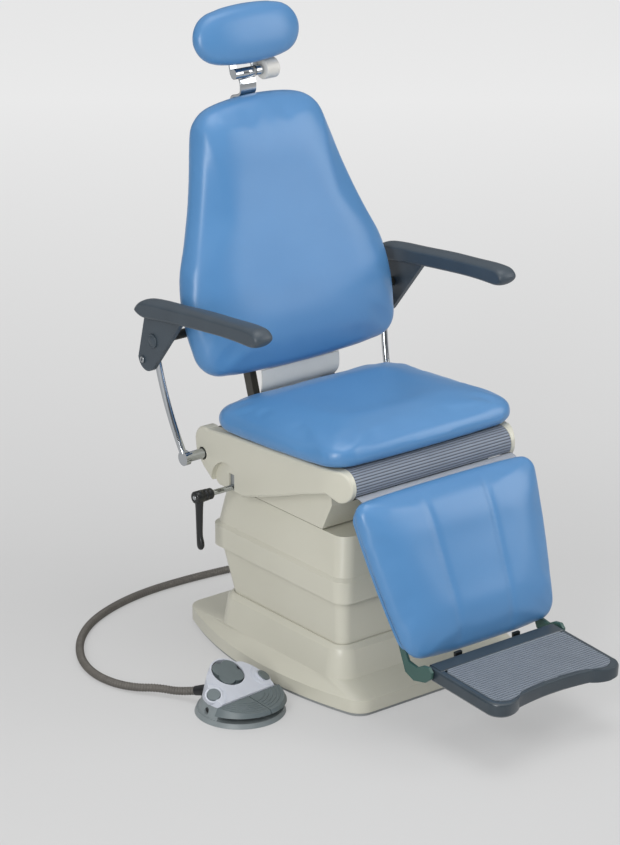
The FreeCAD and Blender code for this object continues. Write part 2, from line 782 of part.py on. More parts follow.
def actuators():
    barrels = []
    deck = d.platform_bottom + d.platform_thickness
    for name, way, axis_rear, axis_height, travel in (
            ("recline", 1, d.recline_axis_rear, d.recline_axis_height, d.back_travel),
            ("legrest", -1, -d.leg_axis_front, d.leg_axis_height, d.leg_travel)):
        x = way * d.actuator_offset
        height = drive_height(axis_height, travel)
        swing = d.lever_radius * math.sin(math.radians(travel / 2))
        length = d.actuator_front + d.actuator_rear
        start = Vector(x, -d.actuator_front, height)
        tube = peg(d.actuator_radius, length, start, REARWARD)
        foot = brick(d.actuator_radius, length / 2, height - deck,
                     Vector(x - d.actuator_radius / 2, -d.actuator_front + length / 4, deck))
        bore = peg(d.drive_rod_radius + 0.3, length, start, REARWARD)
        barrels.append(form(f"{name}_barrel", tube.fuse(foot).cut(bore)))

        pin_rear = axis_rear + swing
        yoke = brick(16, 24, 36, Vector(x - 8, pin_rear - 12, height - 18))
        reach = d.lever_radius * (1 - math.cos(math.radians(travel / 2))) / 2 + d.lever_pin_radius + 1
        slot_front = pin_rear - d.yoke_slot / 2
        slot = brick(16, d.yoke_slot, 2 * reach, Vector(x - 8, slot_front, height - reach))
        inner_end = -d.actuator_front + 2 * swing + 8 if way > 0 else d.actuator_rear - 8
        near_end = pin_rear - 8 if way > 0 else pin_rear + 8
        front_end, rear_end = sorted((near_end, inner_end))
        bar = peg(d.drive_rod_radius, rear_end - front_end, Vector(x, front_end, height), REARWARD)
        keep(f"{name}_rod", form(f"{name}_bar", bar.fuse(yoke).cut(slot)))
    keep("tilt_actuators", group("barrels", *barrels))


def lock_lever():
    keep("lock_rod", rod("lock_bar", "lock_rod_radius", "lock_reach - platform_half_width + 40", "x",
                         ("-lock_reach", "lock_rear", "lock_height")))
    hub = rod("lock_hub", "lock_hub_radius", "lock_hub_length", "x",
              ("-lock_reach - 4", "lock_rear", "lock_height"))
    grip = doc.addObject("Part::Cone", "lock_grip")
    bind(grip, Radius1="lock_hub_radius * 0.55", Radius2="lock_hub_radius * 0.8", Height="lock_handle")
    place(grip, ("-lock_reach - 4 + lock_hub_length * 0.4", "lock_rear", "lock_height - lock_handle"))
    ball = doc.addObject("Part::Sphere", "lock_ball")
    bind(ball, Radius="lock_hub_radius * 0.65")
    place(ball, ("-lock_reach - 4 + lock_hub_length * 0.4", "lock_rear", "lock_height - lock_handle"))
    bore = rod("lock_bore", "lock_rod_radius", "lock_hub_length", "x",
               ("-lock_reach", "lock_rear", "lock_height"))
    keep("lock_handle", cut("lock_grip_bored", fuse("lock_grip_whole", hub, grip, ball), bore))


# Cushions
def cushion(sections):
    """Padded form through outlines from its underside to its crown."""
    return Part.makeLoft(sections, True, False)


def seat():
    def plan(inset):
        return rounded(d.seat_half_width - inset, d.seat_half_width - inset, inset, d.seat_depth - inset,
                       d.seat_corner - inset / 3, 5)
    thick = d.seat_thickness
    profile = ((0, 13), (0.15, 4), (0.44, 0), (0.66, 8), (0.83, 30), (0.94, 70), (1, 128))
    sections = [ring(plan(inset), level(share * thick)) for share, inset in profile]
    keep("seat_cushion", form("seat_pad", cushion(sections), SEAT))
    half = d.cover_inner - 2.5
    board = pad("seat_panel", "XY_Plane", rounded(half, half, 60, d.seat_depth - 38, 30), "board_thickness",
                "-board_thickness")
    keep("seat_board", board, SEAT)


def back_outline(share):
    """Front view of the back: broad hips, drawn-in waist and narrow rounded top, shrunk about its middle."""
    tall = d.back_length
    middle = tall / 2

    def at(half, up):
        return (half * share, middle + (up - middle) * share)

    right = [at(d.back_half_foot, 2), (at(d.back_half_hip - 25, 20), at(d.back_half_hip - 8, 62)),
             (at(d.back_half_hip, 125), at(d.back_half_hip - 14, 0.418 * tall)),
             (at(d.back_half_waist, 0.614 * tall), at(d.back_half_shoulder, 0.827 * tall)),
             at(d.back_half_shoulder - 14, 0.922 * tall),
             (at(d.back_half_shoulder - 31, tall - 21), at(d.back_half_top, tall - 6))]

    def mirror(point):
        return (-point[0], point[1])

    left = [((0, middle + (tall - middle) * share), mirror(right[5][1])),
            (mirror(right[5][0]), mirror(right[4])), mirror(right[3][1]),
            (mirror(right[3][0]), mirror(right[2][1])), (mirror(right[2][0]), mirror(right[1][1])),
            (mirror(right[1][0]), mirror(right[0])), ((0, middle + (-8 - middle) * share), right[0])]
    return right + left


def back():
    front, rear, tall = d.back_front_depth, d.back_rear_depth, d.back_length
    profile = ((-front, 0.5), (-0.95 * front, 0.74), (-0.77 * front, 0.9), (-0.42 * front, 0.98), (0, 1.0),
               (0.5 * rear, 0.995), (rear, 0.965))
    sections = [ring(back_outline(share), upright(depth)) for depth, share in profile]
    keep("back_cushion", form("back_pad", cushion(sections), BACK))

    thick = Vector(0, d.board_thickness, 0)
    keep("back_board", form("back_panel", slab(back_outline(0.9), upright(rear), thick), BACK))

    bar_front = rear + d.board_thickness
    pivot = BACK.inverse().multVec(Vector(0, d.recline_axis_rear, d.recline_axis_height))
    solids = []
    for side, way in SIDES:
        x = way * d.arm_bar_offset - d.arm_bar_thickness / 2
        foot = Vector(x, bar_front, pivot.z)
        solids.append(brick(d.arm_bar_thickness, d.arm_bar_width, tall - 92 - pivot.z, foot))
        solids.append(peg(20, d.arm_bar_thickness, Vector(x, pivot.y, pivot.z)))
        heel = [(pivot.y, pivot.z - 20), (bar_front + d.arm_bar_width, pivot.z + 30),
                (bar_front, pivot.z + 60), (pivot.y - 20, pivot.z)]
        solids.append(slab(heel, sideways(x), Vector(d.arm_bar_thickness, 0, 0)))
    span = d.cover_inner - 3
    solids.append(peg(15, 2 * span, Vector(-span, pivot.y, pivot.z)))
    shaft = d.bracket_inner - 1
    arm_spot = Vector(0, d.arm_pivot_back, d.arm_pivot_up)
    solids.append(peg(d.arm_shaft_radius, 2 * shaft, arm_spot - ACROSS * shaft))
    tip = d.bracket_inner + d.bracket_thickness - 3
    solids.append(peg(d.arm_spigot_radius, 2 * tip, arm_spot - ACROSS * tip))
    tie = brick(2 * d.arm_bar_offset, d.post_thickness, 50, Vector(-d.arm_bar_offset, bar_front, tall - 142))
    solids.append(tie)
    solids.append(lever(d.actuator_offset, d.back_travel, BACK, pivot))
    whole = solids[0].multiFuse(solids[1:])
    bore = peg(d.axle_radius + d.running_fit, 2 * span, Vector(-span, pivot.y, pivot.z))
    keep("back_frame", form("back_weldment", whole.cut(bore), BACK))

    outside = Part.makeLoft([ring(back_outline(share), upright(bar_front + depth * d.shell_depth))
                             for depth, share in ((0, 0.81), (0.72, 0.77), (1, 0.68))], True, True)
    wall = d.shell_wall
    inside = Part.makeLoft([ring(back_outline(share), upright(bar_front + depth * d.shell_depth - wall))
                            for depth, share in ((0, 0.795), (0.72, 0.752), (1, 0.665))], True, True)
    shell = outside.cut(inside)
    shell = shell.cut(peg(d.arm_shaft_radius + 2, 2 * shaft, arm_spot - ACROSS * shaft))
    for side, way in SIDES:
        x = way * d.arm_bar_offset - d.arm_bar_thickness / 2 - 3
        shell = shell.cut(brick(d.arm_bar_thickness + 6, d.arm_bar_width + 3, 150, Vector(x, bar_front, -50)))
    slot_half = d.post_width / 2 + 4
    slot_corner = Vector(-slot_half, d.post_back - 6, tall - 162)
    shell = shell.cut(brick(2 * slot_half, d.post_thickness + 12, 300, slot_corner))
    keep("back_shell", form("back_cover", shell, BACK))

    sheet_wall = 3
    profile = [(12, -11), ((19, -34), (38, -52)), (bar_front, -52), (bar_front, -52 - sheet_wall),
               (38, -52 - sheet_wall), ((16, -36), (12 - sheet_wall, -11))]
    half = d.lumbar_half_width
    lip = slab(profile, sideways(-half), Vector(2 * half, 0, 0))
    hanger = brick(2 * half, sheet_wall, 52 + 34, Vector(-half, bar_front, -52 - sheet_wall))
    keep("lumbar_cover", form("lumbar", lip.fuse(hanger), BACK))

    sleeve_corner = Vector(-d.post_width / 2 - 10, bar_front + d.post_thickness, tall - 222)
    sleeve = brick(d.post_width + 20, 16, 110, sleeve_corner)
    gap = 2 * d.slide_gap
    channel = brick(d.post_width + gap, d.post_thickness + gap, 110,
                    Vector(-(d.post_width + gap) / 2, d.post_back - d.slide_gap, tall - 222))
    keep("headrest_socket", form("post_guide", sleeve.cut(channel), BACK))


# Side view of an armrest about its pivot, from the rear end over the top to the bulged front and back below
ARMREST_PROFILE = [(46, 63), (34, 77), (3, 87), (-85, 97), (-185, 108), (-275, 115), (-343, 119),
                   (-367, 113), (-375, 100), (-365, 87), (-333, 81), (-265, 79), (-195, 73), (-85, 61),
                   (3, 49), (34, 51)]


def smooth_ring(points, spot):
    """A closed wire that runs smoothly through points."""
    curve = Part.BSplineCurve()
    curve.interpolate(Points=[spot(*point) for point in points], PeriodicFlag=True)
    return Part.Wire([curve.toShape()])


def inset_points(points, inset):
    """Points of an anticlockwise outline moved inwards."""
    moved = []
    for before, point, after in zip(points[-1:] + points[:-1], points, points[1:] + points[:1]):
        along = Vector(after[0] - before[0], after[1] - before[1], 0).normalize()
        moved.append((point[0] - along.y * inset, point[1] + along.x * inset))
    return moved


# Armrests and their links
def armrests():
    for side, way in SIDES:
        middle = way * d.armrest_centre
        half = d.armrest_half_width
        profile = [(arm_pivot.y + rear, arm_pivot.z + up) for rear, up in ARMREST_PROFILE]
        sections = [smooth_ring(inset_points(profile, inset), sideways(middle + share * half))
                    for share, inset in ((-1, 9), (-0.88, 3), (-0.6, 0), (0.6, 0), (0.88, 3), (1, 9))]
        block = cushion(sections)
        keep(f"armrest_pad_{side}", form(f"armrest_{side}", block))

        outward = Vector(way, 0, 0)
        p, s = arm_pivot, link_head
        web = [(p.y - 112, p.z + 78), (p.y + 1, p.z - 62), ((p.y + 30, p.z - 71), (p.y + 52, p.z - 47)),
               (p.y + 23, p.z + 66)]
        inner_face = way * d.bracket_inner
        outer_face = way * (d.bracket_inner + d.bracket_thickness)
        plate = slab(web, sideways(inner_face), outward * d.bracket_thickness).cut(block)
        socket = peg(d.arm_spigot_radius + d.running_fit, d.bracket_thickness - 2,
                     Vector(inner_face, p.y, p.z), outward)
        pin_hole = peg(5, d.bracket_thickness - 3, Vector(inner_face, s.y, s.z), outward)
        cap = peg(14, 3, Vector(outer_face, p.y, p.z), outward)
        screw = peg(8, 3, Vector(outer_face, p.y + 36, p.z - 50), outward)
        head_inner = way * d.link_head_inner
        pin_length = abs(outer_face - head_inner) - 3
        shank = peg(5, pin_length, Vector(head_inner, s.y, s.z), outward)
        bush_inner = d.link_head_inner + d.link_thickness / 2 + d.link_bar_radius + 0.5
        bush = peg(9, d.bracket_inner - bush_inner, Vector(way * bush_inner, s.y, s.z), outward)
        fittings = [form(f"bracket_plate_{side}", plate.cut(socket).cut(pin_hole)),
                    form(f"bracket_cap_{side}", cap), form(f"bracket_screw_{side}", screw),
                    form(f"bracket_pin_{side}", shank.fuse(bush))]
        keep(f"armrest_bracket_{side}", group(f"bracket_{side}", *fittings))

        half = d.link_thickness / 2
        low = link_foot + outward * (d.link_inner + half)
        high = link_head + outward * (d.link_head_inner + half)
        chord = (high - low).normalize()
        middle = (low + high) * 0.5 + Vector(0, chord.z, -chord.y) * d.link_bow
        path = Part.Arc(low, middle, high).toShape()
        section = Part.Circle(low, path.tangentAt(path.FirstParameter), d.link_bar_radius)
        link = Part.Wire([path]).makePipeShell([Part.Wire([section.toShape()])], True, False)
        for spot, eye_radius, hole_radius in ((low, d.link_rod_radius + 5, d.link_rod_radius + d.running_fit),
                                              (high, 10, 5.5)):
            start = spot - ACROSS * half
            link = link.fuse(peg(eye_radius, d.link_thickness, start))
            link = link.cut(peg(hole_radius, 3 * half, start - ACROSS * (half / 2)))
        keep(f"link_bar_{side}", form(f"link_{side}", link))


# Headrest
def headrest():
    front, rear = d.post_back, d.post_back + d.post_thickness
    up, axis = d.head_axis_up, d.head_axis_back
    profile = [(front, d.post_bottom), (rear, d.post_bottom), (rear, up - 32),
               ((rear - 6, up - 23), (rear - 14, up - 17)), (axis + 4, up - 2), (axis + 1, up - 8),
               (front - 9, up - 24.5), ((front - 2, up - 29), (front, up - 36))]
    half = d.post_width / 2
    strip = slab(profile, sideways(-half), Vector(d.post_width, 0, 0))
    knuckle_half = d.knuckle_half_length / 2
    knuckle = peg(d.knuckle_radius, 2 * knuckle_half, Vector(-knuckle_half, axis, up))
    spot = Vector(0, axis, up)
    clear = [peg(d.knuckle_radius + 0.6, half, spot + ACROSS * start)
             for start in (-knuckle_half - half, knuckle_half)]
    bore = peg(d.hinge_pin_radius + d.running_fit, 200, Vector(-100, axis, up))
    post = strip.cut(clear[0]).cut(clear[1]).fuse(knuckle).cut(bore)
    keep("headrest_post", form("post", post, BACK))

    gap = 0.5
    length = d.knuckle_half_length - knuckle_half - gap
    knuckles = [peg(d.knuckle_radius, length, Vector(start, 0, 0))
                for start in (-d.knuckle_half_length, knuckle_half + gap)]
    pin_end = d.knuckle_half_length + d.knob_length - 8
    pin = peg(d.hinge_pin_radius, d.knuckle_half_length + pin_end, Vector(-d.knuckle_half_length, 0, 0))
    plate_front = 26 - d.headrest_forward
    leaf = brick(2 * d.knuckle_half_length, 5, 120, Vector(-d.knuckle_half_length, plate_front, 0))
    window = brick(2 * half + 2 * gap, 40, 40, Vector(-half - gap, -20, -20))
    keep("headrest_leaf", form("leaf", leaf.cut(window).multiFuse(knuckles + [pin]), HEAD))

    wide, tall, rise = d.headrest_half_width, d.headrest_half_height, d.headrest_up

    def oval(share):
        x, z = 0.66 * wide * share, 0.88 * tall * share
        low, high, side = rise - tall * share, rise + tall * share, wide * share
        return [(-x, rise - z), ((0, low), (x, rise - z)), ((side, rise), (x, rise + z)),
                ((0, high), (-x, rise + z)), ((-side, rise), (-x, rise - z))]

    profile = ((-34, 0.42), (-31, 0.66), (-24, 0.85), (-11, 0.97), (0, 1.0), (13, 0.95), (26, 0.8))
    sections = [ring(oval(share), upright(depth - d.headrest_forward)) for depth, share in profile]
    keep("headrest_cushion", form("headrest_pad", cushion(sections), HEAD))

    knob = peg(d.knob_radius, d.knob_length, Vector(d.knuckle_half_length + 2, 0, 0))
    rims = [edge for edge in knob.Edges if len(edge.Vertexes) == 1]
    socket = peg(d.hinge_pin_radius + d.running_fit, d.knob_length - 8, ACROSS * (d.knuckle_half_length + 1))
    keep("headrest_knob", form("knob", knob.makeFillet(3, rims).cut(socket), HEAD))


# Legrest and footrest
def legrest():
    forward = d.leg_pad_forward
    top, bottom = -d.leg_pad_top, -d.leg_pad_bottom

    def face(inset):
        return rounded(d.leg_half_bottom - inset, d.leg_half_top - inset, bottom + inset, top - inset,
                       d.leg_corner - inset / 3, 4)

    front, rear = d.leg_front_depth, d.leg_rear_depth
    profile = ((-front, 110), (-0.96 * front, 62), (-0.86 * front, 26), (-0.55 * front, 6), (0, 0),
               (0.55 * rear, 3), (rear, 12))
    sections = [ring(face(inset), upright(depth - forward)) for depth, inset in profile]
    whole = cushion(sections)
    for way in (-1, 1):
        low, high = way * d.leg_half_bottom / 3, way * d.leg_half_top / 3
        start = Vector(low, -forward - front - 4, bottom + 14)
        end = Vector(high, -forward - front - 4, top - 14)
        whole = whole.cut(peg(7, (end - start).Length, start, end - start))
    keep("leg_cushion", form("leg_pad", whole, LEG))

    thick = Vector(0, d.leg_board, 0)
    keep("leg_board", form("leg_panel", slab(face(16), upright(rear - forward), thick), LEG))

    board_rear = rear - forward + d.leg_board
    tube_half = d.roll_half_length - 4
    solids = [peg(d.leg_tube_radius, 2 * tube_half, Vector(-tube_half, 0, 0))]
    for side, way in SIDES:
        solids.append(brick(40, d.leg_rail, -bottom - 20, Vector(way * 130 - 20, board_rear, bottom + 20)))
        pin = (-d.footrest_forward, -d.footrest_down)
        stay = [(board_rear + d.leg_rail, bottom + 84), (board_rear + d.leg_rail, bottom - 6),
                (-44, pin[1] - 13), (pin[0], pin[1] - 14), ((pin[0] - 14, pin[1]), (pin[0], pin[1] + 14)),
                (board_rear, bottom - 7), (board_rear, bottom + 84)]
        x = d.footrest_half_width + 4 if way > 0 else -d.footrest_half_width - 4 - d.stay_thickness
        solids.append(slab(stay, sideways(x), Vector(d.stay_thickness, 0, 0)))
        reach = brick(d.footrest_half_width - 105, d.leg_rail, 30,
                      Vector(110 if way > 0 else -d.footrest_half_width - 5, board_rear, bottom + 40))
        solids.append(reach)
        pin_start = x if way > 0 else x + d.stay_thickness
        solids.append(peg(d.footrest_pin_radius, 30, Vector(pin_start, *pin), Vector(-way, 0, 0)))
    solids.append(lever(-d.actuator_offset, d.leg_travel, LEG, Vector()))
    bore = peg(d.axle_radius + d.running_fit, 2 * tube_half, Vector(-tube_half, 0, 0))
    keep("leg_frame", form("leg_weldment", solids[0].multiFuse(solids[1:]).cut(bore), LEG))

    ribs = int(d.roll_ribs)
    start, end = math.radians(92), math.radians(236)
    crest = d.nose_radius - 0.5
    valley = crest - 2

    def polar(radius, angle):
        return (radius * math.cos(angle), radius * math.sin(angle))

    step = (end - start) / ribs
    outline = [polar(valley, start)]
    for rib in range(ribs):
        outline.append((polar(crest, start + (rib + 0.5) * step), polar(valley, start + (rib + 1) * step)))
    inner = valley - d.roll_wall
    outline.append(polar(inner, end))
    outline.append((polar(inner, (start + end) / 2), polar(inner, start)))
    apron = slab(outline, sideways(-d.roll_half_length), Vector(2 * d.roll_half_length, 0, 0))
    webs = []
    for x in (-d.roll_half_length + 8, d.roll_half_length - 16):
        first, last, half_way = start + 0.2, end - 0.2, (start + end) / 2
        tube = d.leg_tube_radius
        web = [polar(tube, first), polar(inner, first), (polar(inner, half_way), polar(inner, last)),
               polar(tube, last), (polar(tube, half_way), polar(tube, first))]
        webs.append(slab(web, sideways(x), Vector(8, 0, 0)))
    keep("knee_roll", form("roll", apron.multiFuse(webs), LEG))


def tray_outline(inset):
    """Plan of the footrest: straight rear, two rounded horns and a hollowed front edge."""
    half = d.footrest_half_width - inset
    rear = 12 - inset
    front = inset - d.footrest_depth
    hollow = front + 20
    right = [(half - 14, rear), ((half - 4, rear - 4), (half, rear - 14)), (half, front + 34),
             ((half - 9, front + 9), (half - 34, front)), ((half - 54, front + 5), (half - 72, front + 16))]
    left = [((0, hollow + 4), (72 - half, front + 16)), ((54 - half, front + 5), (34 - half, front)),
            ((9 - half, front + 9), (-half, front + 34)), (-half, rear - 14),
            ((4 - half, rear - 4), (14 - half, rear))]
    return right + left


def footrest():
    low = -d.footrest_thickness * 0.6
    top = low + d.footrest_thickness
    body = stacked([(low, tray_outline(4)), (low + 5, tray_outline(0)), (top - 5, tray_outline(0)),
                    (top - 1.5, tray_outline(1.5)), (top, tray_outline(5))])
    mat_floor = low + d.footrest_thickness - d.mat_thickness
    pocket = slab(tray_outline(d.footrest_rim), level(mat_floor), Vector(0, 0, 2 * d.mat_thickness))
    bore = peg(d.footrest_pin_radius + d.running_fit, 3 * d.footrest_half_width,
               ACROSS * (-1.5 * d.footrest_half_width))
    keep("footrest_tray", form("tray", body.cut(pocket).cut(bore), FOOTREST))
    mat = slab(tray_outline(d.footrest_rim + 0.5), level(mat_floor), Vector(0, 0, d.mat_thickness + 0.5))
    keep("footrest_mat", form("mat", mat, FOOTREST))


# Foot control and its conduit
GLAND_WAY = Rotation(UP, 117).multVec(Rotation(REARWARD, 15).multVec(ACROSS))
FOOT_GLAND = Vector(d.foot_x, d.foot_y, 33) + Vector(GLAND_WAY.x, GLAND_WAY.y, 0) * (d.foot_radius - 24)


def foot_control():
    radius, rim, shoulder = d.foot_radius, d.foot_rim, d.foot_body_top
    slope = math.tan(math.radians(d.foot_slope))
    rear_edge = radius - 46
    inward_gland = FOOT.inverse().multVec(FOOT_GLAND)
    gland_way = FOOT.Rotation.inverted().multVec(GLAND_WAY)
    gland_hole = peg(d.gland_radius, 4 * d.gland_length, inward_gland - gland_way * 30, gland_way)

    foot = Part.makeCone(radius, radius - 4, rim)
    drum = Part.makeCone(radius - 7, radius - 17, shoulder - rim, Vector(0, 0, rim))
    hollow = Part.makeCone(radius - 14, radius - 24, shoulder - rim, Vector(0, 0, rim))
    bulkhead = brick(3 * radius, 6, 90, Vector(-1.5 * radius, 2 - d.foot_front, rim))
    well = brick(3 * radius, radius, 90, Vector(-1.5 * radius, 2 - radius - d.foot_front, rim))
    side_hole = peg(7, 26, Vector(-radius, 14, rim + 10), Vector(1, -0.15, 0))
    tub = foot.fuse(drum.cut(hollow).fuse(bulkhead.common(drum)).cut(well))

    def dome(inset):
        cone = Part.makeCone(radius - 16 - inset, radius - 30 - inset, d.foot_cover_rear_top - shoulder + 20,
                             Vector(0, 0, shoulder))
        front = inset - d.foot_front
        top = d.foot_cover_rear_top - inset
        profile = [(front, 0), (radius, 0), (radius, top), (rear_edge, top),
                   (front, top - (rear_edge - front) * slope)]
        return cone.common(slab(profile, sideways(-radius), Vector(2 * radius, 0, 0)))

    def on_top(x, y):
        return Vector(x, y, d.foot_cover_rear_top - (rear_edge - y) * slope)

    lean = Rotation(ACROSS, d.foot_slope)
    controls = {"rocker": (on_top(0, d.rocker_back), lean.multVec(UP), d.rocker_radius)}
    for name, way in SIDES:
        outward = Rotation(REARWARD, way * 24).multVec(lean.multVec(UP))
        spot = on_top(way * d.button_offset, d.button_back) - UP * 2
        controls[name] = (spot, outward, d.button_radius)
    cover = dome(0)
    for spot, outward, size in controls.values():
        cover = cover.fuse(peg(size + 4, 14, spot - outward * 14, outward))
    cover = cover.cut(dome(d.foot_wall))
    for spot, outward, size in controls.values():
        cover = cover.cut(peg(size + 0.6, 60, spot - outward * 40, outward))
    floor = brick(4 * radius, 4 * radius, shoulder, Vector(-2 * radius, -2 * radius, 0))
    keep("foot_cover", form("foot_lid", cover.cut(floor).cut(gland_hole), FOOT))

    spot, outward, size = controls["rocker"]
    lobes = []
    for quarter in range(4):
        aside = Rotation(UP, 45 + 90 * quarter).multVec(ACROSS) * (size * 0.48)
        lobes.append(peg(size * 0.5, 9, spot + lean.multVec(aside) - outward * 8, outward))
    stem = peg(size * 0.4, 18, spot - outward * 24, outward)
    skirt = peg(size * 0.93, 3, spot - outward * 10, outward)
    keep("foot_rocker", form("rocker", stem.multiFuse(lobes + [skirt]), FOOT))

    tip = spot - outward * 24.4
    post_height = (tip.z - rim + 1) / outward.z
    post = Part.makeCone(9, 4, post_height, tip - outward * post_height, outward)
    keep("foot_base", form("foot_tub", tub.cut(gland_hole).cut(side_hole).fuse(post), FOOT))

    for name, way in SIDES:
        spot, outward, size = controls[name]
        button = peg(size, 13, spot - outward * 10, outward)
        rims = [edge for edge in button.Edges if len(edge.Vertexes) == 1]
        keep(f"foot_button_{name}", form(f"button_{name}", button.makeFillet(1.5, rims), FOOT))

    hinge = -d.foot_front - 0.6
    height = d.foot_cover_rear_top - (rear_edge + d.foot_front) * slope - 3
    toe = hinge - radius
    fall = [(hinge, height), (toe, height - radius * d.pedal_fall), (toe, 0), (hinge, 0)]
    for name, way in SIDES:
        disc = Part.makeCone(radius + 2, radius - 6, d.pedal_height, Vector(0, 0, height - d.pedal_height))
        start = d.pedal_gap if way > 0 else -d.pedal_gap - 2 * radius
        half = brick(2 * radius, radius, 90, Vector(start, hinge - radius, 0))
        sector = disc.common(half).common(slab(fall, sideways(-2 * radius), Vector(4 * radius, 0, 0)))
        keep(f"foot_pedal_{name}", form(f"pedal_{name}", sector, FOOT))


def conduit():
    floor = d.conduit_radius + 0.2
    exit_rear = d.plinth_rear + d.gland_length - 8
    foot_end = FOOT_GLAND + GLAND_WAY * (d.gland_length + 12)
    route = [Vector(d.gland_x, exit_rear, d.gland_height), Vector(d.gland_x, exit_rear + 41, d.gland_height)]
    route += [Vector(*spot) for spot in ((114, 458, 17), (83, 489, 11))]
    route += [Vector(x, y, floor) for x, y in (
        (41, 506), (-28, 515), (-100, 520), (-176, 520), (-250, 509), (-320, 487), (-382, 456), (-436, 413),
        (-480, 361), (-514, 300), (-531, 234), (-526, 172))]
    route += [Vector(*spot) for spot in ((-505, 121, 11), (-474, 82, 16))]
    route += [foot_end + GLAND_WAY * 38, foot_end]

    path = []
    radii = []
    here = route[0]
    for before, corner, after in zip(route, route[1:], route[2:]):
        into, out = (corner - before).normalize(), (after - corner).normalize()
        trim = 0.45 * min((corner - before).Length, (after - corner).Length)
        half_turn = into.getAngle(out) / 2
        bend = trim / math.tan(half_turn)
        radii.append(bend)
        first, last = corner - into * trim, corner + out * trim
        middle = corner + (out - into).normalize() * (bend / math.cos(half_turn) - bend)
        path += [Part.LineSegment(here, first).toShape(), Part.Arc(first, middle, last).toShape()]
        here = last
    path.append(Part.LineSegment(here, route[-1]).toShape())
    print("conduit bend radii", [round(bend) for bend in radii])

    length = sum(edge.Length for edge in path)
    cuff = 2 * d.conduit_radius
    ribs = int(d.conduit_ribs)
    pitch = (length - 2 * cuff) / ribs
    stations = [(0, d.conduit_radius)]
    for rib in range(ribs):
        for share, groove in ((0, 0), (0.4, 0), (0.55, 1), (0.85, 1)):
            stations.append((cuff + (rib + share) * pitch, d.conduit_radius - groove * d.conduit_groove))
    stations += [(length - cuff, d.conduit_radius), (length, d.conduit_radius)]

    def hoop(run, hoop_radius):
        for edge in path:
            if run <= edge.Length + 1e-6:
                break
            run -= edge.Length
        where = edge.getParameterByLength(min(run, edge.Length))
        circle = Part.Circle()
        circle.Center = edge.valueAt(where)
        circle.Axis = edge.tangentAt(where)
        circle.XAxis = UP
        circle.Radius = hoop_radius
        return Part.Wire([circle.toShape()])

    ribbed = Part.makeLoft([hoop(run, hoop_radius) for run, hoop_radius in stations], True, True)
    bore = Part.Wire(path).makePipeShell([hoop(0, d.conduit_bore)], True, False)
    tube = ribbed.cut(bore)
    section = math.pi * (d.conduit_radius ** 2 - d.conduit_bore ** 2)
    print("conduit length", round(length), "volume", round(tube.Volume), "of plain", round(section * length))
    keep("foot_conduit", form("hose", tube))

    glands = []
    for name, end, way, long in (("base", route[0], REARWARD, d.gland_length),
                                 ("foot", foot_end, GLAND_WAY, d.gland_length + 12)):
        collar = Part.makeCone(d.gland_radius - 0.1, d.conduit_radius + 1, long, end - way * long, way)
        hole = peg(d.conduit_bore, long, end - way * long, way)
        glands.append(form(f"gland_{name}", collar.cut(hole)))
    keep("conduit_glands", group("glands", *glands))


base()
lift()
carriage()
actuators()
lock_lever()
seat()
back()
armrests()
headrest()
legrest()
footrest()
foot_control()
conduit()

doc.recompute()
faults = [item.Name for item in doc.Objects if "Invalid" in item.State or "Error" in item.State]
faults += [piece.Label for piece in PIECES if piece.Shape.isNull() or not piece.Shape.isValid()]
if faults:
    raise RuntimeError("these objects failed: " + ", ".join(faults))
for name, spot in (("recline", Vector(0, d.recline_axis_rear, d.recline_axis_height)), ("armrest", arm_pivot),
                   ("link", link_foot), ("head", head_axis), ("fold", fold_axis)):
    print("axis", name, round(spot.y, 3), round(spot.z, 3))
os.makedirs("parts", exist_ok=True)
for piece in PIECES:
    piece.Shape.exportStep(f"parts/{piece.Label}.step")
print(len(PIECES), "sub-parts")
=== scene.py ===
# %% [markdown]
# # An ear, nose and throat treatment chair
# The chair was modelled as solids first, and this script dresses them: it loads the solids as a fixed
# frame, gives each one the finish of the real material, and puts upholstery, a corrugated conduit and small
# moulded details where plain solids stood. Everything is in metres, with the chair facing -Y and Z up.

# %% Load the chair's solids
import json
import math

import bmesh
import bpy
import numpy as np
from mathutils import Matrix, Vector
from mathutils.bvhtree import BVHTree

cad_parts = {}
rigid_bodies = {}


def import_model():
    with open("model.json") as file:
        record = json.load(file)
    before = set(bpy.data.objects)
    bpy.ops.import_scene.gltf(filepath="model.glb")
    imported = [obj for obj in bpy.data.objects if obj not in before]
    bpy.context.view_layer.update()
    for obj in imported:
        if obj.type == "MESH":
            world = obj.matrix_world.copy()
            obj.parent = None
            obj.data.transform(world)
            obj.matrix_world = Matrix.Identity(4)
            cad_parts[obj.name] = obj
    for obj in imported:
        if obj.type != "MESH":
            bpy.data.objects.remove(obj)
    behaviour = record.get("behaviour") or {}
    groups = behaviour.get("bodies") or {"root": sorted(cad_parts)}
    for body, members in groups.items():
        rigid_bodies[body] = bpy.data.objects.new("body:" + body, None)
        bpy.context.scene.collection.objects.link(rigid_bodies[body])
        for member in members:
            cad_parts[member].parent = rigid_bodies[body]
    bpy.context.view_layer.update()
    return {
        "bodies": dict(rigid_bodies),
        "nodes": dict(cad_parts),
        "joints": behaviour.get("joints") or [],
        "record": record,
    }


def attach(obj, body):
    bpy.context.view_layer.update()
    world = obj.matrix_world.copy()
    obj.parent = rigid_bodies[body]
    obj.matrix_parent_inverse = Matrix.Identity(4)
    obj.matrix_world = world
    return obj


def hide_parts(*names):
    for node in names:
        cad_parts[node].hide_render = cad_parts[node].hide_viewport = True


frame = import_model()
nodes = frame["nodes"]
scene = bpy.context.scene
MM = 0.001
SIDES = (("left", -1), ("right", 1))


def placed(name, data):
    """A new object in the scene."""
    thing = bpy.data.objects.new(name, data)
    scene.collection.objects.link(thing)
    return thing


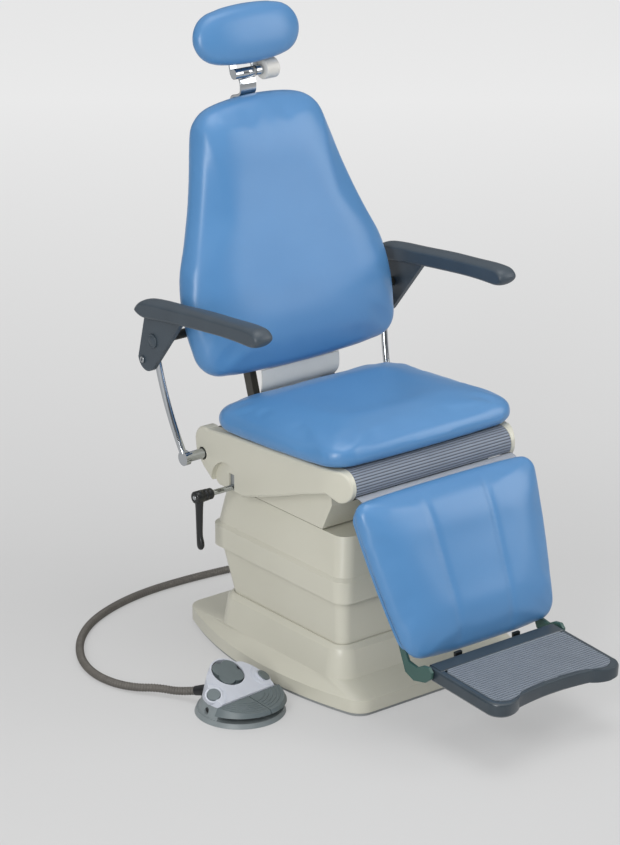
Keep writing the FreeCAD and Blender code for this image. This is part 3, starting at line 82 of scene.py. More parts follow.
# %% [markdown]
# ## The camera
# The picture was taken from the chair's right front with a long lens, a little above the headrest, so that
# upright edges hardly converge. A camera could be aimed by eye; here its place and lens were worked out
# from points of the chair that are easy to find in the picture, and are written down once.

# %% Camera
CAMERA_PLACE = Vector((-4.199, -5.138, 2.988))
CAMERA_WAY = Vector((0.5811, 0.7352, -0.3491))
LENS, SENSOR = 144.85, 36
camera = placed("camera", bpy.data.cameras.new("camera"))
camera.data.lens = LENS
camera.data.sensor_width = SENSOR
camera.location = CAMERA_PLACE
camera.rotation_euler = CAMERA_WAY.to_track_quat("-Z", "Y").to_euler()
scene.camera = camera
print("camera", round(CAMERA_PLACE.length, 2), "m from the floor mark")

# %% [markdown]
# ## Colours and shader nodes
# Colours are written as the sRGB hex values that a painter would read off a swatch, and Blender's shaders
# want linear light, so one function turns the one into the other. A second one adds a shader node, sets it
# up and links what feeds it. The rest make what nearly every finish needs: noise of a given size, a colour
# or a gloss that follows it, a fine relief, and the shader at the end. Patterns are given by the size of
# one cell in millimetres: Blender's texture scale is the number of cells in a metre.


# %% Helpers for materials
def linear(code):
    """The linear colour of an sRGB hex code."""
    parts = [int(code[place:place + 2], 16) / 255 for place in (1, 3, 5)]
    return tuple(part / 12.92 if part <= 0.04045 else ((part + 0.055) / 1.055) ** 2.4
                 for part in parts) + (1,)


def add(tree, kind, inputs=None, **settings):
    """A new shader node with its settings; an input is a value, or the output socket that feeds it."""
    made = tree.nodes.new("ShaderNode" + kind)
    for name, value in settings.items():
        setattr(made, name, value)
    for socket, value in (inputs or {}).items():
        if isinstance(value, bpy.types.NodeSocket):
            tree.links.new(value, made.inputs[socket])
        else:
            made.inputs[socket].default_value = value
    return made


def blank(name):
    """An empty material, its node tree, and the socket that gives a point's place on the object."""
    material = bpy.data.materials.new(name)
    material.use_nodes = True
    tree = material.node_tree
    tree.nodes.clear()
    return material, tree, add(tree, "TexCoord").outputs["Object"]


def per_metre(size):
    """Texture scale for a cell of this size in mm."""
    return 1000 / size


def noise(tree, place, size, detail):
    """Soft noise with cells of this size in mm."""
    cells = add(tree, "TexNoise", {"Vector": place, "Scale": per_metre(size), "Detail": detail})
    return cells.outputs["Fac"]


def between(tree, share, low, high):
    """A colour that goes from one to another, each a hex code or a socket."""
    ends = [linear(end) if isinstance(end, str) else end for end in (low, high)]
    return add(tree, "Mix", {"Factor": share, 6: ends[0], 7: ends[1]}, data_type="RGBA").outputs[2]


def ranged(tree, share, low, high):
    """A value that goes from low to high."""
    return add(tree, "MapRange", {"Value": share, "To Min": low, "To Max": high}).outputs["Result"]


def relief(tree, height, strength, depth):
    """A bump that is this many mm deep."""
    bump = add(tree, "Bump", {"Height": height, "Strength": strength, "Distance": depth * MM})
    return bump.outputs["Normal"]


def surface(tree, colour, roughness, **sockets):
    """Close a material with its shader."""
    shader = add(tree, "BsdfPrincipled", {"Base Color": colour, "Roughness": roughness, **sockets})
    add(tree, "OutputMaterial", {"Surface": shader.outputs["BSDF"]})


print("vinyl blue in linear light", [round(part, 3) for part in linear("#5085b7")])

# %% [markdown]
# ## Upholstery vinyl
# The cushions are covered in PVC-coated cloth, embossed by a roller with a fine leather grain and stretched
# tight over foam. It could be a flat blue; what makes it read as vinyl is a broad soft highlight that the
# grain breaks up, and a slight change of tone where the coat is pulled thinner. The real grain is about 1
# mm across; it is drawn at 2.2 mm, because a finer one would not show at this distance.

# %% Upholstery vinyl
vinyl, tree, place = blank("pvc_coated_vinyl_embossed")
grain = add(tree, "TexVoronoi", {"Vector": place, "Scale": per_metre(2.2), "Smoothness": 1},
            feature="SMOOTH_F1").outputs["Distance"]
blue = between(tree, noise(tree, place, 170, 3), "#4a7eb0", "#578bbd")
matt = ranged(tree, noise(tree, place, 5, 4), 0.3, 0.39)
surface(tree, blue, matt, IOR=1.53, Normal=relief(tree, grain, 0.06, 0.2))
print(vinyl.name, len(tree.nodes), "nodes")

# %% [markdown]
# ## Cream covers
# The covers of the seat mechanism, the column and the floor are moulded ABS in a warm off-white. The
# mould's spark-eroded skin leaves a very fine texture, which turns gloss into a satin; large panels are
# never quite even, so tone and gloss wander slowly. The texture is under 0.5 mm and is drawn at 1.4 mm.

# %% Cream covers
cream, tree, place = blank("abs_moulded_cream_satin")
tone = noise(tree, place, 220, 2)
spark = noise(tree, place, 1.4, 2)
surface(tree, between(tree, tone, "#c4c2b3", "#cfcdbf"), ranged(tree, tone, 0.3, 0.4),
        IOR=1.54, Normal=relief(tree, spark, 0.1, 0.1))
print(cream.name, len(tree.nodes), "nodes")

# %% [markdown]
# ## Slate armrests
# Armrests like these are integral-skin polyurethane foam: the foam's own skin sets against a
# leather-grained mould and comes out firm, dark and matt. A pebble grain of about 1.2 mm, drawn at 2 mm,
# breaks up the highlight, and hands polish it unevenly.

# %% Slate polyurethane
slate, tree, place = blank("polyurethane_integral_skin_slate")
pebble = add(tree, "TexVoronoi", {"Vector": place, "Scale": per_metre(2), "Randomness": 0.9})
polish = noise(tree, place, 60, 4)
surface(tree, between(tree, polish, "#353f48", "#434e57"), ranged(tree, polish, 0.36, 0.52),
        IOR=1.5, Normal=relief(tree, pebble.outputs["Distance"], 0.2, 0.2))
print(slate.name, len(tree.nodes), "nodes")

# %% [markdown]
# ## Ribbed rubber
# The foot mat and the apron at the knee are extruded rubber, dull and a little dusty. The ribs are real
# shapes; the material adds a powdery bloom that is lighter in patches of a few centimetres, and painted
# shade that darkens the grooves. The mat's grooves have faces of their own and so a darker, painted-shade
# material of their own. The apron is curved round the knee axis, and there the painted shade follows the
# distance from that axis: grooves lie nearly 2 mm nearer to it than ribs and are painted nearly black.

# %% Ribbed rubber
KNEE_AXIS = (0, -0.203, 0.489)
GROOVE_RADIUS, RIB_RADIUS = 32 * MM, 33.8 * MM
rubbers = {}
# The groove rubber is painted shade: a darker grey for the faces between the mat's ribs.
for name, low, high in (("rubber_extruded_grey", "#707882", "#7d858f"),
                        ("rubber_groove_painted_shade", "#3f454e", "#4a5059"),
                        ("rubber_moulded_skirt", "#8b919b", "#9aa0aa"),
                        ("rubber_ribbed_apron", "#7d8694", "#8a93a1")):
    rubbers[name], tree, place = blank(name)
    grey = between(tree, noise(tree, place, 35, 5), low, high)
    # Painted shade: the apron's grooves are darkened to near-black by their distance from the knee axis.
    if name == "rubber_ribbed_apron":
        away = add(tree, "VectorMath", {0: place, 1: KNEE_AXIS}, operation="SUBTRACT").outputs["Vector"]
        across = add(tree, "VectorMath", {0: away, 1: (0, 1, 1)}, operation="MULTIPLY").outputs["Vector"]
        radius = add(tree, "VectorMath", {0: across}, operation="LENGTH").outputs["Value"]
        groove_shade_share = add(tree, "MapRange", {"Value": radius, "From Min": GROOVE_RADIUS, "From Max": RIB_RADIUS})
        grey = between(tree, groove_shade_share.outputs["Result"], "#14181f", grey)
    grit = noise(tree, place, 1.2, 2)
    surface(tree, grey, 0.55, IOR=1.52, Normal=relief(tree, grit, 0.2, 0.15))
print(sorted(rubbers))

# %% [markdown]
# ## Metals
# The links, the headrest bar and its hinge are chrome plate on polished steel, with faint wiping marks that
# change the gloss a little. Axles and drive rods are bare ground steel: grinding leaves fine lines along
# the part, drawn here as a noise that is stretched thirty times along X. Motor housings are cast aluminium
# with a coarse sand-cast skin of about 3 mm.

# %% Chrome plate
chrome, tree, place = blank("steel_chrome_plated_polished")
wipe = noise(tree, place, 18, 4)
surface(tree, linear("#bdc1c5"), ranged(tree, wipe, 0.05, 0.14), Metallic=1)
print(chrome.name, len(tree.nodes), "nodes")

# %% Ground steel
steel, tree, place = blank("steel_ground_bare")
drawn = add(tree, "Mapping", {"Vector": place, "Scale": (1 / 30, 1, 1)}).outputs["Vector"]
lines = noise(tree, drawn, 0.9, 3)
surface(tree, linear("#b3b6b9"), ranged(tree, lines, 0.22, 0.42), Metallic=1,
        Normal=relief(tree, lines, 0.1, 0.05))
print(steel.name, len(tree.nodes), "nodes")

# %% Cast aluminium
alloy, tree, place = blank("aluminium_sand_cast")
sand = noise(tree, place, 3, 4)
surface(tree, linear("#a6aaad"), ranged(tree, sand, 0.38, 0.6), Metallic=1,
        Normal=relief(tree, sand, 0.3, 0.2))
print(alloy.name, len(tree.nodes), "nodes")

# %% [markdown]
# ## Powder-coated steel
# The frames under the covers are welded steel, powder coated: the powder melts into a tough skin with a
# slight orange peel, waves of some 2 mm. The stays of the leg rest, which do show, are a dark green-grey
# and the frame of the back a dark olive; the rest is light grey, so the same nodes are run three times with
# another pair of colours.

# %% Powder-coated steel
coats = {}
for name, low, high in (("grey", "#878b8c", "#959898"), ("dark_green", "#34524c", "#40605a"),
                        ("dark_olive", "#35332c", "#423f37")):
    coats[name], tree, place = blank("steel_powder_coated_" + name)
    peel = noise(tree, place, 2, 1)
    paint = between(tree, noise(tree, place, 80, 3), low, high)
    surface(tree, paint, 0.42, IOR=1.5, Normal=relief(tree, peel, 0.15, 0.2))
print(sorted(coats))

# %% [markdown]
# ## Small mouldings
# The clamp lever is black glass-filled nylon, with a faint streak where the fibres lie near the skin. The
# foot control has a pale blue-grey ABS cover, dark grey ABS pads and a mid grey drum, the headrest knob is
# a warm white ABS, and the foot tray is a dark, rather glossy polypropylene. All are the one recipe: a fine
# moulded texture of 1 mm, and a slow change of tone over 3 cm.

# %% Small mouldings
def moulding(name, low, high, rough):
    """A moulded plastic between two tones, with its mean roughness."""
    material, tree, place = blank(name)
    tone = noise(tree, place, 30, 3)
    spark = noise(tree, place, 1, 2)
    surface(tree, between(tree, tone, low, high), ranged(tree, tone, rough - 0.06, rough + 0.08),
            IOR=1.54, Normal=relief(tree, spark, 0.12, 0.1))
    return material


nylon = moulding("nylon_glass_filled_black", "#0c0e0f", "#16191b", 0.34)
dark_abs = moulding("abs_moulded_dark_grey", "#566063", "#657073", 0.45)
mid_abs = moulding("abs_moulded_mid_grey", "#788082", "#878f91", 0.42)
pale_abs = moulding("abs_moulded_pale_grey", "#bcc0ca", "#c8ccd5", 0.38)
white_abs = moulding("abs_moulded_warm_white", "#cfcdc7", "#dad8d2", 0.4)
# The lumbar plate's near-white is painted light: the cream of the covers made paler for a plate that lies in
# shade.
lumbar_cream_painted_lighter = moulding("abs_moulded_cream_painted_light", "#d3d2cb", "#dddcd6", 0.34)
tray_plastic = moulding("polypropylene_moulded_slate", "#2d373f", "#39444c", 0.3)
print("seven mouldings")

# %% [markdown]
# ## Conduit PVC and plywood
# The conduit is blown PVC in a warm dark grey; dirt stays in its grooves, so the tone varies over a
# centimetre or two. The board under the seat is birch plywood, seen only from below: a wave texture bent by
# noise gives bands of grain about 9 mm apart. The boards of the back and the leg rest have their edges in
# view, and the vinyl of the cushion is pulled over them.

# %% Conduit PVC and plywood
conduit_pvc, tree, place = blank("pvc_blown_corrugated_grey")
dirt = noise(tree, place, 14, 4)
surface(tree, between(tree, dirt, "#4d4a46", "#6b6761"), 0.5, IOR=1.53)

plywood, tree, place = blank("birch_plywood_sanded")
grain = add(tree, "TexWave", {"Vector": place, "Scale": per_metre(9) / 20, "Distortion": 7, "Detail": 3})
surface(tree, between(tree, grain.outputs["Fac"], "#8f7a57", "#a58f6a"), 0.65, IOR=1.5)
print(conduit_pvc.name, plywood.name)

# %% [markdown]
# ## Dressing the solids
# A solid that already has the right shape keeps it. The exported solids have knife-sharp edges, and no real
# moulding has: a Weld modifier joins the faces that the exporter split, a Bevel rounds each edge by a
# millimetre or so to catch the light, and weighted normals keep the flat faces flat. The meshes themselves
# stay untouched.

# %% Dress the solids
WELD_GAP, SHARP_ANGLE = 0.02, 38


def soften(thing, rounding, steps=2):
    """Round the edges of a thing by some mm."""
    thing.modifiers.new("weld", "WELD").merge_threshold = WELD_GAP * MM
    bevel = thing.modifiers.new("rounding", "BEVEL")
    bevel.width = rounding * MM
    bevel.segments = steps
    bevel.limit_method = "ANGLE"
    bevel.angle_limit = math.radians(SHARP_ANGLE)
    thing.modifiers.new("flat_faces", "WEIGHTED_NORMAL").keep_sharp = True


def dress(material, names, rounding, steps=2):
    """Give solids a material, and a rounding of their edges in mm where it isn't 0."""
    for name in names.split():
        solid = nodes[name]
        solid.data.materials.clear()
        solid.data.materials.append(material)
        if rounding:
            soften(solid, rounding, steps)


dress(cream, "plinth_cover upper_shroud middle_sleeve", 1.6, 3)
dress(cream, "belly_cover back_shell", 1.4, 3)
dress(cream, "side_cover_left side_cover_right lumbar_cover", 0)
dress(slate, "armrest_pad_left armrest_pad_right", 0)
dress(slate, "armrest_bracket_left armrest_bracket_right", 1)
dress(tray_plastic, "footrest_tray", 4, 4)
dress(rubbers["rubber_extruded_grey"], "footrest_mat knee_roll", 0)
dress(chrome, "link_bar_left link_bar_right lock_rod link_rods", 0)
dress(chrome, "headrest_post headrest_leaf", 0.8)
dress(coats["grey"], "base_plate guide_column column_head lift_column swivel_hub seat_frame", 0)
dress(coats["grey"], "headrest_socket", 0.8)
dress(coats["dark_green"], "leg_frame", 1)
dress(coats["dark_olive"], "back_frame", 0)
dress(steel, "lift_rod recline_rod legrest_rod pivot_axles swivel_race", 0)
dress(nylon, "conduit_glands control_box wear_pads", 0)
dress(dark_abs, "foot_rocker foot_button_left foot_button_right foot_pedal_left foot_pedal_right", 0.8)
dress(mid_abs, "foot_base", 0.8)
dress(pale_abs, "foot_cover", 1)
dress(white_abs, "headrest_knob", 1)
dress(alloy, "lift_barrel tilt_actuators", 0)
dress(plywood, "seat_board", 0)
dress(vinyl, "back_board leg_board", 0)
print(sum(1 for solid in nodes.values() if solid.modifiers), "solids with rounded edges")

# %% [markdown]
# ## New pieces
# A new piece is a mesh or a curve in the chair's own frame. It rides on one of the chair's bodies so that
# it moves with it. Some shapes come up again and again: a row of rings joined into a skin, a curve that a
# bent piece follows, and a thin bead laid on a surface. Other pieces start as a copy of a solid, with the
# points joined that the exporter split.


# %% Helpers for new pieces
def finished(piece, material, body):
    """Give a new piece its material and its body."""
    piece.data.materials.clear()
    piece.data.materials.append(material)
    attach(piece, body)


def mesh_piece(name, mesh):
    """A new object for a mesh, smooth shaded."""
    mesh.shade_smooth()
    return placed(name, mesh)


def finer(piece):
    """Subdivide a piece's skin once."""
    fine = piece.modifiers.new("fine", "SUBSURF")
    fine.levels = 1
    fine.render_levels = 1


def skin_over(name, rings):
    """A closed piece over rings of points, each ring with as many points as the next."""
    count = len(rings[0])
    faces = [(row * count + spot, row * count + (spot + 1) % count,
              (row + 1) * count + (spot + 1) % count, (row + 1) * count + spot)
             for row in range(len(rings) - 1) for spot in range(count)]
    faces += [tuple(reversed(range(count))), tuple(range((len(rings) - 1) * count, len(rings) * count))]
    mesh = bpy.data.meshes.new(name)
    mesh.from_pydata([tuple(point) for ring in rings for point in ring], [], faces)
    mesh.update()
    return mesh_piece(name, mesh)


def turned(name, centre, way, profile, sides=32):
    """A lathe-turned piece about a line: the profile lists (along, radius) in mm."""
    turn = Vector(way).normalized().to_track_quat("Z", "Y")
    angles = [2 * math.pi * side / sides for side in range(sides)]
    rings = []
    for along, radius in profile:
        ring = [Vector((radius * math.cos(angle), radius * math.sin(angle), along)) for angle in angles]
        rings.append([Vector(centre) + turn @ (spot * MM) for spot in ring])
    return skin_over(name, rings)


def along_nurbs(name, route, resolution):
    """Points read from a NURBS curve whose control points are the points of a route."""
    line = bpy.data.curves.new(name, "CURVE")
    line.dimensions = "3D"
    spline = line.splines.new("NURBS")
    spline.points.add(len(route) - 1)
    for point, spot in zip(spline.points, route):
        point.co = (*spot, 1)
    spline.order_u = 3
    spline.use_endpoint_u = True
    spline.resolution_u = resolution
    guide = placed(name, line)
    read = [point.co.copy() for point in bpy.data.meshes.new_from_object(guide).vertices]
    bpy.data.objects.remove(guide)
    return read


# %% Helpers for surfaces
surfaces = {}


def touch(node, start, way):
    """Where a ray meets a solid, or None."""
    if node not in surfaces:
        mesh = nodes[node].data
        surfaces[node] = BVHTree.FromPolygons([point.co for point in mesh.vertices],
                                              [face.vertices for face in mesh.polygons])
    return surfaces[node].ray_cast(Vector(start), Vector(way).normalized())[0]


def bead(name, lines, radius):
    """A curve of round beads along lines of points."""
    curve = bpy.data.curves.new(name, "CURVE")
    curve.dimensions = "3D"
    curve.bevel_depth = radius * MM
    curve.bevel_resolution = 2
    curve.use_fill_caps = True
    for line in lines:
        spline = curve.splines.new("POLY")
        spline.points.add(len(line) - 1)
        for point, spot in zip(spline.points, line):
            point.co = (*spot, 1)
    return placed(name, curve)


def welded(node, gap):
    """A bmesh of a solid, with points joined that are less than a gap in mm apart."""
    work = bmesh.new()
    work.from_mesh(nodes[node].data)
    bmesh.ops.remove_doubles(work, verts=work.verts, dist=gap * MM)
    return work


def cut_across(work, rear):
    """Cut a bmesh by an upright plane across it."""
    bmesh.ops.bisect_plane(work, geom=work.verts[:] + work.edges[:] + work.faces[:],
                           plane_co=(0, rear, 0), plane_no=(0, 1, 0))


def written(name, work):
    """A new mesh from a bmesh, which is let go."""
    mesh = bpy.data.meshes.new(name)
    work.to_mesh(mesh)
    work.free()
    return mesh


print("helpers ready")

# %% [markdown]
# ## The conduit
# A corrugated conduit lies on the floor from the back of the plinth to the foot control. A cable designer
# would settle its length and its tightest bend first; the route below has those, and a NURBS spline through
# its points as control points lies the way a stiff hose does, with no corners. The ribs are real: the
# skin's radius swings in and out along points that are read from the spline.

# %% Conduit
CONDUIT_DIAMETER = 18 * MM
conduit_route = [(0.130, 0.376, 0.022), (0.130, 0.417, 0.022), (0.114, 0.458, 0.017), (0.083, 0.489, 0.011),
                 (0.041, 0.506, 0.0092), (-0.028, 0.515, 0.0092), (-0.100, 0.520, 0.0092),
                 (-0.176, 0.520, 0.0092), (-0.250, 0.509, 0.0092), (-0.320, 0.487, 0.0092),
                 (-0.382, 0.456, 0.0092), (-0.436, 0.413, 0.0092), (-0.480, 0.361, 0.0092),
                 (-0.514, 0.300, 0.0092), (-0.531, 0.234, 0.0092), (-0.526, 0.172, 0.0092),
                 (-0.505, 0.121, 0.011), (-0.474, 0.082, 0.016), (-0.4481, 0.0419, 0.01385),
                 (-0.4315, 0.0092, 0.0237)]
read = np.array(along_nurbs("conduit_line", conduit_route, 24))
travelled = np.concatenate(([0], np.cumsum(np.linalg.norm(np.diff(read, axis=0), axis=1))))
print("conduit", round(travelled[-1], 3), "m along the spline,", len(read), "points read")

# %% Conduit ribs
RIB_PITCH, RIB_DEPTH, RIB_FULLNESS = 6.2 * MM, 2.3 * MM, 0.6
RINGS_PER_RIB, CONDUIT_SIDES = 4, 18
rows = int(travelled[-1] / RIB_PITCH) * RINGS_PER_RIB
spots = np.linspace(0, travelled[-1], rows + 1)
centres = np.stack([np.interp(spots, travelled, read[:, axis]) for axis in range(3)], axis=1)
ways = np.gradient(centres, axis=0)
rings = []
for row, (centre, way) in enumerate(zip(centres, ways)):
    across = Vector(way).cross(Vector((0, 0, 1))).normalized()
    upward = across.cross(Vector(way)).normalized()
    swing = (1 + math.cos(2 * math.pi * row / RINGS_PER_RIB)) / 2
    radius = CONDUIT_DIAMETER / 2 - RIB_DEPTH * (1 - swing ** RIB_FULLNESS)
    rings.append([Vector(centre) + (across * math.cos(angle) + upward * math.sin(angle)) * radius
                  for angle in np.linspace(0, 2 * math.pi, CONDUIT_SIDES, endpoint=False)])
conduit = skin_over("corrugated_conduit", rings)
finished(conduit, conduit_pvc, "base")
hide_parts("foot_conduit")
print("conduit skin", len(conduit.data.polygons), "faces")

# %% [markdown]
# ## Cushions
# Each cushion is foam on a plywood board with vinyl pulled over it, so its front swells and its rear stays
# flat. It could be a subdivided box, but the swell of a stuffed cover is what cloth simulation does well. A
# copy of the solid is made a little smaller and remeshed to an even grid, and its broad face is relaxed to
# an even crown. The side on the board is pinned, and air pressure blows up the rest; no point may move
# further than a cap, so that the cushion stays in its place. At last the cover is smoothed, as if ironed,
# some cushions more than others.


# %% Frames of the cushions
def leaning(rear, height, lean):
    """The frame of a cushion: where it starts, and how far it leans back in degrees."""
    return Matrix.Translation((0, rear, height)) @ Matrix.Rotation(math.radians(lean), 4, "X")


SEAT = leaning(-0.225, 0.527, -3.4)
BACK = leaning(0.200, 0.603, -17.3)
LEG = leaning(-0.203, 0.489, -23.3)
HEAD = leaning(0.387171, 1.187796, -15)
LEG_TOP, LEG_BOTTOM, LEG_BOARD, LEG_THICKNESS = -0.036, -0.380, -36 * MM, 40 * MM
CUSHIONS = {
    "seat_cushion": dict(body="carriage", frame=SEAT, axis=2, board=16 * MM, side=-1, fill=0.75, ironing=12),
    "back_cushion": dict(body="backrest", frame=BACK, axis=1, board=14 * MM, side=1, fill=0.75, ironing=24),
    "leg_cushion": dict(body="legrest", frame=LEG, axis=1, board=LEG_BOARD, side=1, fill=0.75, ironing=26),
    "headrest_cushion": dict(body="headrest", frame=HEAD, axis=1, board=-10 * MM, side=1, fill=0.8,
                             ironing=12),
}
print("cushions", sorted(CUSHIONS))

# %% Cushion blanks
VOXEL, SLACK = 6 * MM, 0.5 * MM
RELAXING, CROWNING = 6, 80
BROAD_START, BROAD_RISE = 0.72, 0.2


def settled(piece):
    """Replace a piece's mesh by what its modifiers make of it."""
    view = bpy.context.evaluated_depsgraph_get()
    mesh = bpy.data.meshes.new_from_object(piece.evaluated_get(view))
    piece.modifiers.clear()
    piece.data = mesh
    mesh.shade_smooth()


def smoothed(piece, name, rounds, group=""):
    """Smooth a piece, or a group of its points, for some rounds, and settle it."""
    smooth = piece.modifiers.new(name, "SMOOTH")
    smooth.vertex_group = group
    smooth.factor = 0.5
    smooth.iterations = rounds
    settled(piece)


pads = {}
for name, how in CUSHIONS.items():
    work = welded(name, 0.05)
    work.normal_update()
    for point in work.verts:
        point.co -= point.normal * SLACK
    pad = mesh_piece("upholstered_" + name, written("upholstered_" + name, work))
    remesh = pad.modifiers.new("even_grid", "REMESH")
    remesh.mode = "VOXEL"
    remesh.voxel_size = VOXEL
    smoothed(pad, "relax", RELAXING)
    outward = how["frame"].to_3x3().col[how["axis"]] * -how["side"]
    broad = pad.vertex_groups.new(name="broad_face")
    for point in pad.data.vertices:
        share = (point.normal.dot(outward) - BROAD_START) / BROAD_RISE
        broad.add([point.index], min(1, max(0, share)), "REPLACE")
    smoothed(pad, "crown", CROWNING, "broad_face")
    pads[name] = pad
    print(pad.name, len(pad.data.vertices), "points")

# %% [markdown]
# ### Crown of the back, ends of the headrest
# A cover is cut from flat panels and pulls the foam into rounder outlines than the solids have. The top
# edge of the back rises towards its middle, the headrest is nearly an ellipse, the seat reaches a little
# over its covers, and the leg pad narrows downwards and is fuller in its middle. All are small moves of the
# points, in the cushion's own frame, made before the covers are blown up.

# %% Round the outlines
BACK_TOP, CROWN_START, CROWN, CROWN_HALF = 0.562, 0.44, 10 * MM, 0.15
HEAD_MIDDLE, HEAD_HALF_WIDTH, HEAD_WIDENING, HEAD_SWELL, HEAD_ENDS = 0.081, 0.136, 1.02, 1.06, 0.1
LEG_NARROWING, LEG_CROWN, LEG_HALF_WIDTH = 0.03, 6 * MM, 0.22
SEAT_WIDENING = 1.012
inverse = BACK.inverted()
for point in pads["back_cushion"].data.vertices:
    spot = inverse @ point.co
    rise = min(1, max(0, (spot.z - CROWN_START) / (BACK_TOP - CROWN_START)))
    spot.z += CROWN * rise ** 2 * max(0, 1 - (spot.x / CROWN_HALF) ** 2)
    point.co = BACK @ spot
inverse = HEAD.inverted()
for point in pads["headrest_cushion"].data.vertices:
    spot = inverse @ point.co
    along = min(1, abs(spot.x) / HEAD_HALF_WIDTH)
    spot.z = HEAD_MIDDLE + (spot.z - HEAD_MIDDLE) * (HEAD_SWELL - HEAD_ENDS * along ** 3)
    spot.x *= HEAD_WIDENING
    point.co = HEAD @ spot
inverse = LEG.inverted()
for point in pads["leg_cushion"].data.vertices:
    spot = inverse @ point.co
    share = min(1, max(0, (LEG_TOP - spot.z) / (LEG_TOP - LEG_BOTTOM)))
    middle = max(0, 1 - (spot.x / LEG_HALF_WIDTH) ** 2) * (1 - (2 * share - 1) ** 2)
    forward = min(1, max(0, (LEG_BOARD - spot.y) / LEG_THICKNESS))
    spot.y -= LEG_CROWN * middle * forward
    spot.x *= 1 - LEG_NARROWING * share
    point.co = LEG @ spot
for point in pads["seat_cushion"].data.vertices:
    point.co.x *= SEAT_WIDENING
print("crown", round(CROWN * 1000), "mm")

# %% Blow the cushions up
CAP, FRAMES = 4 * MM, 20
COVER = dict(quality=4, mass=0.4, tension_stiffness=15, compression_stiffness=15, bending_stiffness=20,
             vertex_group_mass="on_the_board", use_pressure=True, uniform_pressure_force=4)
starts = {}
for name, how in CUSHIONS.items():
    pad = pads[name]
    inverse = how["frame"].inverted()
    starts[name] = np.array([point.co for point in pad.data.vertices])
    held = pad.vertex_groups.new(name="on_the_board")
    for point in pad.data.vertices:
        depth = (inverse @ point.co)[how["axis"]]
        if (depth - how["board"]) * how["side"] > 0:
            held.add([point.index], 1, "REPLACE")
    cloth = pad.modifiers.new("cover", "CLOTH")
    for setting, value in COVER.items():
        setattr(cloth.settings, setting, value)
    cloth.settings.effector_weights.gravity = 0
    cloth.collision_settings.use_collision = False
    cloth.point_cache.frame_end = FRAMES
for moment in range(1, FRAMES + 1):
    scene.frame_set(moment)
for name, pad in pads.items():
    settled(pad)
    moved = np.array([point.co for point in pad.data.vertices]) - starts[name]
    length = np.linalg.norm(moved, axis=1, keepdims=True)
    capped = starts[name] + moved * np.minimum(1, CAP / np.maximum(length, 1e-9))
    pad.data.vertices.foreach_set("co", capped.astype(np.float32).ravel())
    pad.data.update()
    smoothed(pad, "pulled_tight", CUSHIONS[name]["ironing"])
    print(pad.name, "swelled by up to", round(float(length.max()) * 1000, 1), "mm, capped")
scene.frame_set(1)

# %% [markdown]
# ### Channels of the leg pad
# The leg pad is sewn down along two upright lines, a third of its width from each edge. A seam narrower
# than the grid would be lost in the simulation, so the channels are pressed in afterwards: points near a
# line move back, most on the line itself, and less towards the ends of the pad.

# %% Leg channels
CHANNEL_DEPTH, CHANNEL_WIDTH = 2.1 * MM, 8 * MM
CHANNEL_END, CHANNEL_FRONT, CHANNEL_FADE = 0.12, -45 * MM, 15 * MM
HALF_TOP, HALF_BOTTOM = 0.244, 0.202
pad = pads["leg_cushion"]
inverse = LEG.inverted()
pressed = 0
for point in pad.data.vertices:
    spot = inverse @ point.co
    share = (LEG_TOP - spot.z) / (LEG_TOP - LEG_BOTTOM)
    line_at = (HALF_TOP + (HALF_BOTTOM - HALF_TOP) * share) / 3
    near = math.exp(-((abs(spot.x) - line_at) / CHANNEL_WIDTH) ** 2)
    ends = min(1, max(0, min(share, 1 - share) / CHANNEL_END))
    front = min(1, max(0, (CHANNEL_FRONT - spot.y) / CHANNEL_FADE))
    if near > 0.02:
        spot.y += CHANNEL_DEPTH * near * ends * front
        point.co = LEG @ spot
        pressed += 1
pad.data.update()
print("channels pressed into", pressed, "points")

# %% Cover the cushions
for name, how in CUSHIONS.items():
    pad = pads[name]
    finer(pad)
    finished(pad, vinyl, how["body"])
    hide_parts(name)
print(len(pads), "cushions covered")

# %% [markdown]
# ## The clamp lever
# The lever that locks the swivel is a moulded handle on a turned hub: it narrows slowly below the hub and
# ends in a toe that kicks forward and keeps the hand from slipping off. It is skinned over ovals that
# follow that change of width, and the hub is turned with grip rings and a screw in its middle.

# %% Clamp lever
LEVER_X, LEVER_AXIS = -0.309, (0.155, 0.378)
OVAL_POINTS = 20
# Drop below the axis, shift forward, half width and half thickness of the handle in mm
lever_ovals = [(-10, 0, 9, 6.5), (-4, 0, 12, 8), (6, 0, 12.5, 8.5), (16, 0, 10.4, 7.8), (30, 0, 9.2, 7.2),
               (55, 0, 8.6, 6.8), (80, 0, 7.8, 6.3), (90, 0.4, 7.8, 6.3), (97, 2.6, 10, 6.8),
               (106, 3.6, 10.6, 7), (112, 3.2, 9.4, 6.4), (116.5, 2.6, 6.4, 4.4), (118.5, 2.4, 2, 1.5)]
rings = [[(LEVER_X + thick * math.sin(angle) * MM, LEVER_AXIS[0] + (wide * math.cos(angle) - ahead) * MM,
           LEVER_AXIS[1] - drop * MM)
          for angle in np.linspace(0, 2 * math.pi, OVAL_POINTS, endpoint=False)]
         for drop, ahead, wide, thick in lever_ovals]
lever = skin_over("clamp_lever_handle", rings)
finer(lever)
finished(lever, nylon, "lock_lever")
HUB_START, HUB_LENGTH = (-0.277, *LEVER_AXIS), 45
hub_profile = [(0, 8), (0, 10.6), (2, 12), (9, 12), (10, 11), (11.6, 11), (12.6, 12.6), (19, 12.6),
               (20, 11.4), (21.6, 11.4), (22.8, 13.2), (42, 13.2), (44, 12), (HUB_LENGTH, 9.4),
               (HUB_LENGTH, 7), (43.4, 6.4), (43.4, 1)]
hub = turned("clamp_lever_hub", HUB_START, (-1, 0, 0), hub_profile)
finished(hub, nylon, "lock_lever")
